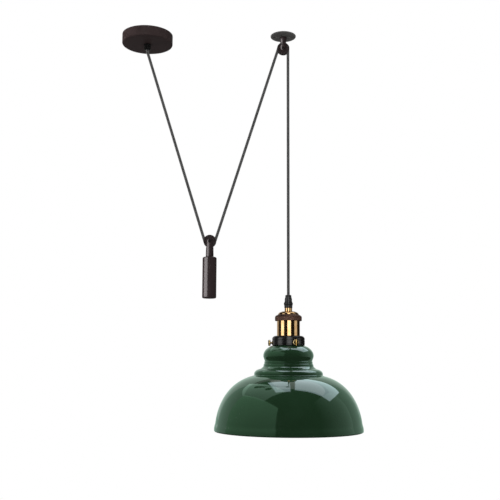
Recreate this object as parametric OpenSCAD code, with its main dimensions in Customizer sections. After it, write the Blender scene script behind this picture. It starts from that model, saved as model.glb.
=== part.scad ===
// Rise and fall pendant: a ceiling cup, a ceiling pulley, a counterweight pulley and a domed lamp,
// all carried by one flex.
// Millimetres. The origin is at the ceiling, over the middle of the ceiling cup. +X runs to the
// ceiling pulley and +Z is up, so the whole object hangs below Z = 0.

/* [Layout] */
// Distance from the middle of the ceiling cup to the axle of the ceiling pulley
span = 282; // [180:1:420]
// Height from the ceiling down to the axle of the counterweight pulley
weight_drop = 433; // [260:1:600]
// Height from the ceiling down to the rim of the shade
rim_drop = 805; // [620:1:1200]

/* [Flex] */
// Outside diameter of the braided flex
cord_d = 5.5; // [4:0.1:7]
// Radius at which the flex bends as it leaves the ceiling cup
cord_bend = 20; // [14:1:40]

/* [Ceiling cup] */
// Outside diameter of the cup
canopy_d = 104; // [90:1:140]
// Depth of the cup
canopy_h = 20.5; // [18:0.5:40]
// Wall of the cup
canopy_wall = 1.2; // [0.8:0.1:2]
// Radius of the cup's lower edge
canopy_edge = 2.2; // [1:0.1:5]
// Outside diameter of the flex grip under the cup
canopy_grip_d = 15.5; // [13:0.5:20]
// Length of the flex grip below the cup
canopy_grip_h = 11.5; // [8:0.5:24]

/* [Bracket] */
// Thickness of the steel strap
strap_t = 2; // [1.5:0.1:3]
// Width of the steel strap
strap_w = 20; // [16:1:26]
// Distance between the middles of the two ceiling screw slots
slot_pitch = 64; // [60:1:66]
// Length of each slot, end to end
slot_l = 13; // [8:1:14]
// Width of each slot
slot_w = 4.8; // [4:0.1:6]

/* [Pulleys] */
// Outside diameter of both pulley wheels
wheel_d = 25.5; // [24:0.5:32]
// Width of a pulley wheel
wheel_w = 8; // [7.6:0.1:10]
// Radius at the bottom of the rope groove
groove_r = 7; // [6.4:0.1:8]
// Diameter of the axle pins
axle_d = 3.6; // [3:0.1:4.4]
// Diameter of the turned bars that the forks are cut from
fork_d = 14.2; // [13.4:0.1:18]
// Diameter of the waist of the ceiling fork
waist_d = 12; // [11.6:0.1:14]
// Height from the ceiling down to the axle of the ceiling pulley
ceiling_axle_drop = 28; // [27:0.5:40]
// Diameter of the ceiling plate
plate_d = 52.5; // [46:0.5:70]
// Thickness of the ceiling plate
plate_t = 3.2; // [3:0.1:5]
// Distance between the two screw holes of the ceiling plate
plate_pitch = 35; // [30:1:38]
// Diameter of the screw holes of the ceiling plate
plate_hole = 4.4; // [4:0.1:5]

/* [Counterweight] */
// Diameter of the weight
weight_d = 26.4; // [22:0.1:50]
// Length of the weight
weight_l = 82; // [50:1:140]
// Height of the fork's stem between the wheel and the weight
weight_stem = 31.5; // [28:0.5:60]

/* [Shade] */
// Diameter of the shade at its rim
shade_d = 290; // [240:1:360]
// Height from the rim to the foot of the neck
shade_h = 165; // [150:1:220]
// Thickness of the sheet steel
shade_wall = 0.9; // [0.7:0.1:1.2]
// Radius of the neck that the gallery holds
neck_r = 28.5; // [27:0.5:29]
// Radius of the shoulder under the neck
shoulder_r = 49.2; // [46:0.2:56]
// Radius of the waist below the shoulder
waist_r = 46.2; // [44:0.2:48]
// Radius of the corner where the waist meets the collar
step_r = 53.4; // [51:0.2:58]
// Radius of the round collar at the head of the dome
collar_r = 66.6; // [62:0.2:74]
// How far the rim stands out from the dome
rim_flare = 2.5; // [1:0.5:6]

/* [Lamp holder] */
// Outside diameter of the brass barrel
barrel_d = 43.8; // [43:0.1:46]
// Length of the brass barrel
barrel_l = 30.5; // [26:0.5:40]
// Wall of the brass barrel
barrel_wall = 0.9; // [0.6:0.1:1.1]
// Outside diameter of the bronze ring over the barrel
ring_d = 53; // [50:0.5:60]
// Height of the bronze ring
ring_h = 6; // [5:0.5:8]
// Outside diameter of the black gallery that carries the shade
gallery_d = 63.4; // [62.6:0.2:68]
// Height of the gallery
gallery_h = 20; // [18:0.5:26]
// Wall of the gallery
gallery_wall = 1.5; // [1.2:0.1:1.6]
// Inside radius of the lamp's screw shell
shell_r = 13.2; // [13.1:0.05:13.4]

/* [Thumb screws] */
// Diameter of the shanks
screw_d = 4; // [3:0.1:5]
// Diameter of the knurled heads
head_d = 12; // [9:0.5:14]
// Thickness of the heads
head_h = 3.8; // [3:0.2:6]

/* [Hidden] */
$fn = 96;

fit = 0.1;        // gap of a part that sits in another
running = 0.3;    // gap beside a part that turns or slides
flat = 0.01;      // overlap that makes a cut run clean through a face
cord_r = cord_d / 2;
cord_hole_r = cord_r + 0.15;
cord_axis_r = groove_r + 0.15 + cord_r;   // radius of the flex's middle round a wheel

// Colours
bronze = [0.20, 0.15, 0.15];
iron = [0.33, 0.32, 0.31];
black = [0.09, 0.09, 0.09];
brass = [0.80, 0.60, 0.30];
old_brass = [0.35, 0.24, 0.17];
steel = [0.62, 0.62, 0.64];
green = [0.12, 0.22, 0.15];
braid = [0.22, 0.22, 0.22];
ceramic = [0.90, 0.89, 0.85];

// Ceiling cup and its fittings
strap_l = 2 * sqrt(pow(canopy_d / 2 - canopy_wall - running, 2) - pow(strap_w / 2, 2));
tab_h = 13;
side_screw_r = 2;
side_screw_z = -9;
slot_end_r = slot_w / 2;
strap_hole_r = 6;
nipple_r = 4.9;
grip_nut_h = 3;
grip_nut_flats = 14;
nipple_top = -canopy_h + canopy_wall + grip_nut_h + 1.4;
cord_start = nipple_top + 1;
grip_tip = -canopy_h - canopy_grip_h;
grip_screw_r = 1.7;
grip_screw_z = -canopy_h - canopy_grip_h * 0.5;
block_size = [12, 17, 10];
block_x = 8.5;
block_bore_r = 1.5;
block_pitch = 8;
block_screw_r = 1.7;
core_r = 0.95;
earth_x = -15;
earth_screw_r = 1.9;

// Pulleys
slot_half = wheel_w / 2 + running;
wheel_clear = wheel_d / 2 + 1;
bush_r = axle_d / 2 + 1.3;
cheek_flat = fork_d / 2 - 0.9;      // half the width over the spot faces for the axle's head and clip
axle_head_r = 3.2;
axle_head_h = 1.3;
axle_end = cheek_flat + 1.6;
clip_t = 0.6;
clip_at = cheek_flat + 0.15;
clip_groove = 0.4;
fork_screw_r = 2.5;
fork_screw_l = 10;

// Where the flex runs. It leaves the cup's grip straight down, bends, runs under the weight's wheel
// and over the ceiling wheel. Both slanting runs stand at the same angle, because the weight hangs
// in the middle of one taut flex.
axle_z = -ceiling_axle_drop;
weight_z = -weight_drop;
sum_drop = axle_z + grip_tip - 2 * weight_z;
run_x = span - cord_bend;
slant = acos((3 * cord_axis_r - cord_bend) / norm([run_x, sum_drop])) - atan2(sum_drop, run_x);
weight_x = (cord_bend * cos(slant) - cord_bend + (grip_tip - weight_z) * sin(slant) + cord_axis_r)
    / cos(slant);
lamp_x = span + cord_axis_r;

// Heights in the lamp, from the rim of the shade
neck_top = shade_h + 9.6;
gallery_foot = shade_h + 0.3;
gallery_top = gallery_foot + gallery_h;
gallery_roof = gallery_top - gallery_wall;
barrel_top = gallery_top + barrel_l;
ring_foot = barrel_top - 1.5;
ring_top = ring_foot + ring_h;
cap_h = 8.5;
cap_neck_h = 7;
cap_neck_r = 6.8;
cap_neck_top = ring_top + cap_h + cap_neck_h;
grip_body_h = 13.4;
grip_body_top = cap_neck_top + grip_body_h;
grip_nut_l = 14;
cord_end = ring_top + cap_h - 1;

// Lamp socket
skirt_r = 19.6;
skirt_wall = 1.8;
skirt_foot = gallery_roof - 24;
skirt_top = gallery_top + 16;
core_outer_r = skirt_r - skirt_wall - fit;
ceramic_foot = skirt_foot + 2.2;
ceramic_top = skirt_top + 4;
terminal_top = ceramic_top + 2.8;
shell_wall = 0.5;
shell_foot = ceramic_foot + 1.5;
shell_l = 22;
shell_top = shell_foot + shell_l;
bore_top = shell_top + 4.5;
gallery_nut_h = 5;
gallery_nut_r = neck_r - shade_wall - 2.6;

// Thumb screws
screw_z = neck_top - 1.9 - screw_d / 2 - 0.3;
screw_tip = neck_r + 0.15;
head_at = gallery_d / 2 + 4.4;
screw_angles = [-71, 49, 169];

// ---- Curves ---------------------------------------------------------------------------------

// Points along an arc about c, both ends included
function arc(c, r, a0, a1, n = 8) = [for (i = [0:n]) c + r * [cos(a0 + (a1 - a0) * i / n),
                                                              sin(a0 + (a1 - a0) * i / n)]];

// Points along a cubic curve from a to d, without its last point
function curve(a, b, c, d, n = 10) = [for (i = [0:n - 1]) let (t = i / n, u = 1 - t)
    u * u * u * a + 3 * u * u * t * b + 3 * u * t * t * c + t * t * t * d];

function unit(v) = v / norm(v);
function reversed(p) = [for (i = [len(p) - 1:-1:0]) p[i]];

// A line of points moved sideways by t, to the right of its own direction
function beside(p, t) = [for (i = [0:len(p) - 1]) let (
    before = unit(p[max(i, 1)] - p[max(i, 1) - 1]),
    after = unit(p[min(i + 1, len(p) - 1)] - p[min(i + 1, len(p) - 1) - 1]),
    mean = unit(before + after),
    stretch = 1 / max(0.5, mean * before))
    p[i] + t * stretch * [mean[1], -mean[0]]];

// A sheet of thickness t whose outer face follows p
module sheet(p, t) {
    polygon(concat(p, reversed(beside(p, t))));
}

// ---- Shapes that repeat ---------------------------------------------------------------------

// A round bar with a hole down its middle, from z = low to high
module tube(outer, inner, low, high) {
    translate([0, 0, low])
        difference() {
            cylinder(r = outer, h = high - low);
            translate([0, 0, -flat]) cylinder(r = inner, h = high - low + 2 * flat);
        }
}

// A hole of radius r along Y, centred on the origin
module cross_hole(r, l) {
    rotate([90, 0, 0]) cylinder(r = r, h = l, center = true);
}

// A small screw, head up, with a slotted cheese head. The head's foot is at z = 0.
module slotted_screw(r, l, head_r, head_h) {
    difference() {
        union() {
            translate([0, 0, -l]) cylinder(r = r, h = l);
            cylinder(r = head_r, h = head_h);
        }
        translate([-head_r - 1, -0.4, head_h * 0.45]) cube([2 * head_r + 2, 0.8, head_h]);
    }
}

// A round tube of radius r swept along p, whose points never run along Y. Its end faces are square
// to first and last, and each point between carries a ring square to the way through it.
module sweep(p, r, first, last, sides = 8) {
    n = len(p);
    function along(i) = i == 0 ? first : i == n - 1 ? last
        : unit(unit(p[i] - p[i - 1]) + unit(p[i + 1] - p[i]));
    function across(i) = unit(cross(along(i), [0, 1, 0]));
    rings = [for (i = [0:n - 1]) let (u = across(i), v = cross(along(i), u))
        for (k = [0:sides - 1]) p[i] + r * (u * cos(360 * k / sides) + v * sin(360 * k / sides))];
    walls = [for (i = [0:n - 2]) for (k = [0:sides - 1]) let (
        a = i * sides + k, b = i * sides + (k + 1) % sides)
        each [[a, b + sides, b], [a, a + sides, b + sides]]];
    foot = [for (k = [1:sides - 2]) [0, k, k + 1]];
    head = [for (k = [1:sides - 2]) let (s = (n - 1) * sides) [s, s + k + 1, s + k]];
    polyhedron(points = rings, faces = concat(walls, foot, head));
}

// Points of the flex in the XZ plane round a wheel or a bend, about centre
function turn(centre, r, a0, a1, n) = [for (i = [0:n]) let (a = a0 + (a1 - a0) * i / n)
    [centre[0] + r * cos(a), 0, centre[1] + r * sin(a)]];

module flex(p, first, last) {
    color(braid) sweep(p, cord_r, first, last, 12);
}

// A core that leaves the flex at a along its own line and arrives at d along last
module core(a, rise, level, last, d) {
    middle = curve(a + rise * 0.1, a + rise, d - level, d - level * 0.2, 9);
    sweep(concat([a], middle, [d - level * 0.2, d]), core_r, unit(rise), last);
}

// A pulley wheel on the Y axis
module wheel() {
    rim_gap = cord_r + 0.5;
    recess = [groove_r * 0.62, wheel_d / 2 - 1.9];
    rotate([90, 0, 0])
        rotate_extrude()
            difference() {
                translate([bush_r + 0.05, -wheel_w / 2])
                    square([wheel_d / 2 - bush_r - 0.05, wheel_w]);
                translate([cord_axis_r, 0]) circle(r = cord_r + 0.15);
                polygon([[cord_axis_r, -cord_r - 0.15], [wheel_d / 2 + 1, -rim_gap - 0.3],
                         [wheel_d / 2 + 1, rim_gap + 0.3], [cord_axis_r, cord_r + 0.15]]);
                for (s = [-1, 1])
                    polygon([[recess[0], s * wheel_w], [recess[0], s * (wheel_w / 2 - 0.2)],
                             [recess[0] + 0.5, s * (wheel_w / 2 - 0.7)],
                             [groove_r - 0.1, s * (wheel_w / 2 - 0.7)],
                             [recess[1] - 1.6, s * (wheel_w / 2 - 0.45)],
                             [recess[1] - 1.6, s * wheel_w]]);
            }
}

// The plain bush that the wheel turns with, on the Y axis
module bush() {
    rotate([90, 0, 0]) tube(bush_r, axle_d / 2 + 0.05, -slot_half + 0.1, slot_half - 0.1);
}

// An axle pin on the Y axis: domed head at -Y, groove for a clip at +Y
module axle() {
    rotate([90, 0, 0])
        rotate_extrude()
            polygon(concat(
                [[0, -axle_end], [axle_d / 2 - 0.4, -axle_end], [axle_d / 2, -axle_end + 0.4],
                 [axle_d / 2, -clip_at - clip_t - 0.05],
                 [axle_d / 2 - clip_groove, -clip_at - clip_t - 0.05],
                 [axle_d / 2 - clip_groove, -clip_at + 0.05], [axle_d / 2, -clip_at + 0.05],
                 [axle_d / 2, cheek_flat + 0.05], [axle_head_r, cheek_flat + 0.05],
                 [axle_head_r, cheek_flat + 0.5]],
                curve([axle_head_r - 0.1, cheek_flat + 0.8], [axle_head_r - 0.6, cheek_flat + axle_head_h],
                      [1.5, cheek_flat + axle_head_h], [0, cheek_flat + axle_head_h], 5),
                [[0, cheek_flat + axle_head_h]]));
}

// The spring clip in the axle's groove, open on one side
module axle_clip() {
    rotate([-90, 0, 0])
        difference() {
            tube(axle_d / 2 + 1.3, axle_d / 2 - clip_groove + 0.05, clip_at, clip_at + clip_t);
            translate([0, -0.9, clip_at - 1]) cube([10, 1.8, clip_t + 2]);
        }
}

// What both forks have cut away: the wheel's slot, the axle's hole and the flats round it
module fork_cuts(hang) {
    rotate([90, 0, 0]) cylinder(r = wheel_clear, h = 2 * slot_half, center = true);
    translate([-fork_d, -slot_half, hang > 0 ? 0 : -2 * fork_d])
        cube([2 * fork_d, 2 * slot_half, 2 * fork_d]);
    cross_hole(axle_d / 2 + 0.05, 3 * fork_d);
    for (s = [-1, 1])
        translate([0, s * (cheek_flat + fork_d / 2), 0])
            cross_hole(axle_head_r + 0.4, fork_d);
}

// A countersunk screw hole through the ceiling plate, open downwards
module plate_screw_hole() {
    translate([0, 0, -plate_t - flat]) {
        cylinder(d = plate_hole, h = plate_t + 2 * flat);
        cylinder(r1 = plate_hole / 2 + 1.9, r2 = plate_hole / 2, h = 1.9);
    }
}

// ---- Ceiling cup ----------------------------------------------------------------------------

module ceiling_bracket() {
    half = strap_l / 2;
    bend = 2.5;
    color(steel)
        difference() {
            rotate([90, 0, 0])
                linear_extrude(height = strap_w, center = true)
                    sheet(concat([[-half, -tab_h]],
                                 arc([-half + bend, -bend], bend, 180, 90, 6),
                                 arc([half - bend, -bend], bend, 90, 0, 6),
                                 [[half, -tab_h]]), strap_t);
            for (s = [-1, 1]) {
                translate([s * slot_pitch / 2, 0, -strap_t - 1]) {
                    for (e = [-1, 1])
                        translate([e * (slot_l / 2 - slot_end_r), 0, 0])
                            cylinder(r = slot_end_r, h = strap_t + 2);
                    translate([slot_end_r - slot_l / 2, -slot_end_r, 0])
                        cube([slot_l - 2 * slot_end_r, slot_w, strap_t + 2]);
                }
                translate([s * half, 0, side_screw_z])
                    rotate([0, 90, 0]) cylinder(r = side_screw_r + 0.05, h = 12, center = true);
            }
            translate([0, 0, -strap_t - 1]) cylinder(r = strap_hole_r, h = strap_t + 2);
            translate([earth_x, 0, -strap_t - 1]) cylinder(r = earth_screw_r + 0.05, h = strap_t + 2);
        }
}

module earth_screw() {
    color(brass)
        translate([earth_x, 0, -strap_t - 1.9])
            rotate([180, 0, 0]) {
                slotted_screw(earth_screw_r, strap_t + 1.6, 3.3, 1.8);
            }
}

module canopy() {
    r = canopy_d / 2;
    color(bronze)
        difference() {
            rotate_extrude()
                sheet(concat([[r, 0]],
                             arc([r - canopy_edge, -canopy_h + canopy_edge], canopy_edge, 0, -90, 8),
                             [[0, -canopy_h]]), canopy_wall);
            translate([0, 0, -canopy_h - 1]) cylinder(r = nipple_r + 0.2, h = canopy_wall + 2);
            for (s = [-1, 1])
                translate([s * r, 0, side_screw_z])
                    rotate([0, 90, 0]) cylinder(r = side_screw_r + 0.25, h = 8, center = true);
        }
}

module canopy_side_screws() {
    reach = canopy_d / 2 - 0.15;
    length = 7;
    color(black)
        for (s = [0, 180])
            rotate([0, 0, s])
                translate([reach - length, 0, side_screw_z])
                    rotate([0, 90, 0])
                        difference() {
                            cylinder(r = side_screw_r, h = length);
                            translate([0, 0, length - 2]) cylinder(r = 1.15, h = 3, $fn = 6);
                        }
}

module canopy_cord_grip() {
    r = canopy_grip_d / 2;
    color(black)
        difference() {
            union() {
                translate([0, 0, -canopy_h])
                    rotate_extrude()
                        polygon(concat([[0, 0], [r, 0], [r, -2.2], [r - 0.8, -3]],
                                       arc([r - 0.8 - 2.2, -canopy_grip_h + 2.2], 2.2, 0, -90, 6),
                                       [[0, -canopy_grip_h]]));
                translate([0, 0, -canopy_h]) cylinder(r = nipple_r, h = nipple_top + canopy_h);
            }
            translate([0, 0, -60]) cylinder(r = cord_hole_r, h = 60);
            translate([0, 0, grip_screw_z]) rotate([-90, 0, 0]) cylinder(r = grip_screw_r + 0.05, h = 20);
        }
}

module canopy_grip_nut() {
    color(steel)
        translate([0, 0, -canopy_h + canopy_wall])
            difference() {
                cylinder(r = grip_nut_flats / 2 / cos(30), h = grip_nut_h, $fn = 6);
                translate([0, 0, -1]) cylinder(r = nipple_r + 0.05, h = grip_nut_h + 2);
            }
}

module canopy_grip_screw() {
    tip = cord_r + 0.2;
    length = canopy_grip_d / 2 - 0.9 - tip;
    color(black)
        translate([0, tip, grip_screw_z])
            rotate([-90, 0, 0])
                difference() {
                    cylinder(r = grip_screw_r, h = length);
                    translate([-3, -0.35, length - 0.9]) cube([6, 0.7, 2]);
                }
}

module terminal_block() {
    color(ceramic)
        translate([block_x, 0, -strap_t - block_size[2]])
            difference() {
                translate([0, -block_size[1] / 2, 0]) cube(block_size);
                for (s = [-1, 1])
                    translate([0, s * block_pitch / 2, 0]) {
                        translate([-1, 0, block_size[2] / 2])
                            rotate([0, 90, 0]) cylinder(r = block_bore_r, h = block_size[0] + 2);
                        for (x = [3, block_size[0] - 3])
                            translate([x, 0, -1])
                                cylinder(r = block_screw_r + 0.1, h = block_size[2] / 2 + 1);
                    }
                translate([block_size[0] / 2, 0, -1]) cylinder(r = 1.3, h = 20);
                translate([-1, -0.6, -1]) cube([block_size[0] + 2, 1.2, 3]);
            }
}

module terminal_screws() {
    color(brass)
        for (s = [-1, 1], x = [3, block_size[0] - 3])
            translate([block_x + x, s * block_pitch / 2, -strap_t - block_size[2] + 0.6])
                difference() {
                    cylinder(r = block_screw_r, h = block_size[2] / 2 - block_bore_r - 0.8);
                    translate([-3, -0.35, -1]) cube([6, 0.7, 1.9]);
                }
}

// A core from the flex's end to a terminal of the block
module block_core(side) {
    z = -strap_t - block_size[2] / 2;
    core([0.5, side * 1.25, cord_start], [0, 0, z - cord_start - 0.5], [5, 0, 0], [1, 0, 0],
         [block_x + 2.2, side * block_pitch / 2, z]);
}

module core_live() {
    color("saddlebrown") block_core(-1);
}

module core_neutral() {
    color("royalblue") block_core(1);
}

// The earth core runs to a ring tag under the earth screw's head
module core_earth() {
    tag_z = -strap_t - 1.85;
    color("yellowgreen") {
        core([-1.25, 0, cord_start], [0, 0, 3.5], [-5, 0, 0], [-1, 0, 0], [earth_x + 3.6, 0, tag_z + 0.9]);
        translate([earth_x, 0, 0]) {
            tube(3.4, earth_screw_r + 0.1, tag_z, tag_z + 1.8);
        }
        translate([earth_x + 2.8, -1, tag_z]) cube([1.6, 2, 1.8]);
    }
}

// ---- Ceiling pulley -------------------------------------------------------------------------

module pulley_plate() {
    r = plate_d / 2;
    color(iron)
        translate([span, 0, 0])
            difference() {
                rotate_extrude()
                    polygon(concat([[0, 0], [r - 0.4, 0], [r, -0.4], [r, -1.2]],
                                   curve([r, -1.2], [r, -plate_t + 0.6], [r - 1.2, -plate_t + 0.2],
                                         [r - 4, -plate_t], 6),
                                   [[r - 4, -plate_t], [0, -plate_t]]));
                for (s = [-1, 1])
                    translate([s * plate_pitch / 2, 0, 0]) plate_screw_hole();
                translate([0, 0, -plate_t - 1]) cylinder(r = fork_screw_r + 0.1, h = plate_t + 2);
                translate([0, 0, -2.4])
                    cylinder(r1 = fork_screw_r + 0.1, r2 = fork_screw_r + 2.5, h = 2.4 + flat);
            }
}

module ceiling_fork() {
    r = fork_d / 2;
    w = waist_d / 2;
    top = axle_z + wheel_clear;
    length = -plate_t - axle_z;
    color(bronze)
        translate([span, 0, axle_z])
            difference() {
                rotate_extrude()
                    polygon(concat(
                        [[0, length], [r - 0.4, length], [r, length - 0.4], [r, length - 4]],
                        curve([r, length - 4.5], [r, length - 8], [w, length - 8], [w, length - 12.5], 8),
                        curve([w, length - 12.5], [w, length - 16], [r, 8], [r, 3], 8),
                        arc([0, 0], r, 0, -90, 10)));
                fork_cuts(-1);
                translate([0, 0, length - fork_screw_l + 2.3])
                    cylinder(r = fork_screw_r + 0.05, h = fork_screw_l);
            }
}

module fork_screw() {
    color(steel)
        translate([span, 0, 0])
            difference() {
                union() {
                    translate([0, 0, -fork_screw_l]) cylinder(r = fork_screw_r, h = fork_screw_l - 0.1);
                    translate([0, 0, -2.4])
                        cylinder(r1 = fork_screw_r - 0.05, r2 = fork_screw_r + 2.25, h = 2.3);
                }
                translate([0, 0, -2]) cylinder(r = 1.7, h = 3, $fn = 6);
            }
}

module ceiling_axle() {
    color(iron) translate([span, 0, axle_z]) axle();
}

module ceiling_axle_clip() {
    color(steel) translate([span, 0, axle_z]) axle_clip();
}

module ceiling_wheel() {
    color(iron) translate([span, 0, axle_z]) wheel();
}

module ceiling_wheel_bush() {
    color(brass) translate([span, 0, axle_z]) bush();
}

// ---- Flex -----------------------------------------------------------------------------------

bend_at = [cord_bend, grip_tip];
weight_at = [weight_x, weight_z];
ceiling_at = [span, axle_z];

module cord_left() {
    flex(concat([[0, 0, cord_start]],
                turn(bend_at, cord_bend, 180, 180 + slant, 4),
                turn(weight_at, cord_axis_r, 180 + slant, 270, 8)),
         [0, 0, -1], [1, 0, 0]);
}

module cord_right() {
    flex(concat(turn(weight_at, cord_axis_r, 270, 360 - slant, 8),
                turn(ceiling_at, cord_axis_r, 180 - slant, 90, 8)),
         [1, 0, 0], [1, 0, 0]);
}

module cord_drop() {
    flex(concat(turn(ceiling_at, cord_axis_r, 90, 0, 8),
                [[lamp_x, 0, cord_end - rim_drop]]),
         [1, 0, 0], [0, 0, -1]);
}

// ---- Counterweight --------------------------------------------------------------------------

module weight_wheel() {
    color(iron) translate([weight_x, 0, weight_z]) wheel();
}

module weight_wheel_bush() {
    color(brass) translate([weight_x, 0, weight_z]) bush();
}

module weight_axle() {
    color(iron) translate([weight_x, 0, weight_z]) axle();
}

module weight_axle_clip() {
    color(steel) translate([weight_x, 0, weight_z]) axle_clip();
}

stud_r = 3;
stud_depth = 10;

module weight_fork() {
    r = fork_d / 2;
    neck = r - 0.7;
    color(bronze)
        translate([weight_x, 0, weight_z])
            difference() {
                rotate_extrude()
                    polygon(concat(
                        [[0, -weight_stem], [r - 0.5, -weight_stem], [r, -weight_stem + 0.5],
                         [r, -weight_stem + 6]],
                        curve([r, -weight_stem + 6], [r, -weight_stem + 10], [neck, -weight_stem + 8],
                              [neck, -weight_stem + 13], 6),
                        curve([neck, -weight_stem + 13], [neck, -12], [r, -10], [r, -5], 6),
                        arc([0, 0], r, 0, 90, 10)));
                fork_cuts(1);
                translate([0, 0, -weight_stem - 1]) cylinder(r = stud_r + 0.05, h = stud_depth + 1.5);
            }
}

module weight_stud() {
    color(steel)
        translate([weight_x, 0, weight_z - weight_stem - stud_depth])
            cylinder(r = stud_r, h = 2 * stud_depth);
}

module weight_cylinder() {
    r = weight_d / 2;
    top_r = fork_d / 2 + 0.4;
    color(bronze)
        translate([weight_x, 0, weight_z - weight_stem - weight_l])
            difference() {
                rotate_extrude()
                    polygon(concat([[0, 0]], arc([r - 1.8, 1.8], 1.8, -90, 0, 6),
                                   curve([r, weight_l - 6], [r, weight_l - 3.6],
                                         [r - 1.6, weight_l - 2.8], [top_r, weight_l], 8),
                                   [[top_r, weight_l], [0, weight_l]]));
                translate([0, 0, weight_l - stud_depth - 0.5])
                    cylinder(r = stud_r + 0.05, h = stud_depth + 2);
            }
}

// ---- Lamp -----------------------------------------------------------------------------------

module at_lamp() {
    translate([lamp_x, 0, -rim_drop]) children();
}

module lamp_grip_nut() {
    foot = grip_body_top;
    color(black)
        at_lamp()
            difference() {
                translate([0, 0, foot])
                    rotate_extrude()
                        polygon([[0, 0], [8, 0], [8.2, 0.4], [7.9, 1.6], [6.8, 3.2], [6.6, 5],
                                 [5.6, grip_nut_l - 2.6], [5.7, grip_nut_l - 1.6], [5.3, grip_nut_l - 0.4],
                                 [4.9, grip_nut_l], [0, grip_nut_l]]);
                translate([0, 0, foot - 1]) cylinder(r = cord_hole_r, h = grip_nut_l + 2);
                translate([0, 0, foot - 1]) cylinder(r = 5.1, h = 6.4);
            }
}

module lamp_grip_body() {
    color(black)
        at_lamp()
            difference() {
                union() {
                    translate([0, 0, cap_neck_top])
                        rotate_extrude()
                            polygon([[0, 0], [7, 0], [7.3, 0.5], [8.3, grip_body_h - 2.4],
                                     [8.4, grip_body_h - 0.8], [8, grip_body_h], [0, grip_body_h]]);
                    translate([0, 0, grip_body_top]) cylinder(r = 5, h = 5);
                    translate([0, 0, ring_top + cap_h + 0.4]) cylinder(r = nipple_r, h = cap_neck_h);
                }
                translate([0, 0, cord_end - 5]) cylinder(r = cord_hole_r, h = 60);
            }
}

module holder_cap() {
    edge_r = ring_d / 2 - 1.2;
    outline = concat(
        [[cap_neck_r, cap_neck_top], [cap_neck_r, ring_top + cap_h + 1.2]],
        curve([cap_neck_r + 0.6, ring_top + cap_h + 0.4], [14, ring_top + cap_h - 0.2],
              [18.5, ring_top + 6.6], [19.8, ring_top + 4.4], 8),
        curve([19.8, ring_top + 4.4], [20.6, ring_top + 2.6], [23, ring_top + 1.2],
              [edge_r, ring_top + 0.9], 6),
        [[edge_r, ring_top + 0.9]]);
    color(brass)
        at_lamp()
            difference() {
                rotate_extrude()
                    polygon(concat(outline, [[edge_r, ring_top], [barrel_d / 2 - 1.6, ring_top]],
                                   reversed(beside([for (i = [2:10]) outline[i]], 1.2)),
                                   [[1, ring_top + cap_h - 0.8], [1, cap_neck_top]]));
                translate([0, 0, ring_top + cap_h - 6]) cylinder(r = nipple_r + 0.05, h = 30);
            }
}

module holder_ring() {
    r = ring_d / 2;
    color(old_brass)
        at_lamp()
            rotate_extrude()
                polygon(concat([[barrel_d / 2 + 0.05, ring_foot], [r - 1.6, ring_foot]],
                               arc([r - 1.2, ring_foot + 1.2], 1.2, -60, 0, 4),
                               arc([r - 1, ring_top - 1], 1, 0, 90, 4),
                               [[barrel_d / 2 - 1.2, ring_top], [barrel_d / 2 - 1.2, barrel_top + 0.1],
                                [barrel_d / 2 + 0.05, barrel_top + 0.1]]));
}

module holder_barrel() {
    r = barrel_d / 2;
    color(brass)
        at_lamp()
            rotate_extrude()
                polygon([[r - barrel_wall, gallery_top], [r - 0.3, gallery_top], [r, gallery_top + 0.3],
                         [r, barrel_top], [r - barrel_wall, barrel_top]]);
}

module socket_core() {
    color(ceramic)
        at_lamp()
            difference() {
                translate([0, 0, ceramic_foot]) cylinder(r = core_outer_r, h = ceramic_top - ceramic_foot);
                translate([0, 0, ceramic_foot - 1])
                    cylinder(r = shell_r + shell_wall + fit, h = shell_top - ceramic_foot + 1.1);
                translate([0, 0, ceramic_foot]) cylinder(r = shell_r - 2.2, h = bore_top - ceramic_foot);
                for (s = [-1, 1])
                    translate([s * 9.5, 0, ceramic_top - 6]) cylinder(r = 1.9, h = 10);
                translate([0, 9.5, ceramic_top - 6]) cylinder(r = 1.9, h = 10);
            }
}

// Three terminal screws on top of the ceramic: live, neutral and earth
module socket_terminals() {
    color(brass)
        at_lamp()
            for (p = [[-9.5, 0], [9.5, 0], [0, 9.5]])
                translate([p[0], p[1], terminal_top - 1.8])
                    slotted_screw(1.8, 6, 3, 1.8);
}

module socket_skirt() {
    color(black)
        at_lamp()
            difference() {
                union() {
                    translate([0, 0, skirt_foot]) cylinder(r = skirt_r, h = skirt_top - skirt_foot);
                    translate([0, 0, gallery_top]) cylinder(r = barrel_d / 2 - barrel_wall - 0.15, h = 2.4);
                }
                translate([0, 0, ceramic_foot]) cylinder(r = core_outer_r + fit, h = 100);
                translate([0, 0, skirt_foot - 1]) cylinder(r = shell_r + 1.6, h = 100);
            }
}

module screw_shell() {
    color(brass) at_lamp() tube(shell_r + shell_wall, shell_r, shell_foot, shell_top);
}

// The sprung tongue that meets the lamp's tip
module centre_contact() {
    width = 5;
    low = shell_top + 0.4;
    color(brass)
        at_lamp()
            rotate([90, 0, 0])
                linear_extrude(height = width, center = true)
                    sheet(concat([[-9, bore_top]],
                                 curve([-7, bore_top], [-4, bore_top], [-3.5, low + 0.6],
                                       [1, low + 0.6], 8),
                                 [[1, low + 0.6], [4, low + 0.8], [7, low + 1.8]]), 0.6);
}

// A core that spreads from the flex's end to the terminal at p on the ceramic
module lamp_core(from, p) {
    start = [lamp_x + from[0], from[1], cord_end - rim_drop];
    stop = [lamp_x + p[0], p[1], terminal_top - rim_drop + 0.05];
    knee = start[2] - stop[2];
    core(start, [0, 0, -knee * 0.5], [0, 0, -knee * 0.6], [0, 0, -1], stop);
}

module lamp_core_live() {
    color("saddlebrown") lamp_core([-1.25, -0.2], [-9.5, 0]);
}

module lamp_core_neutral() {
    color("royalblue") lamp_core([1.25, -0.2], [9.5, 0]);
}

module lamp_core_earth() {
    color("yellowgreen") lamp_core([0, 1.3], [0, 9.5]);
}

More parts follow.
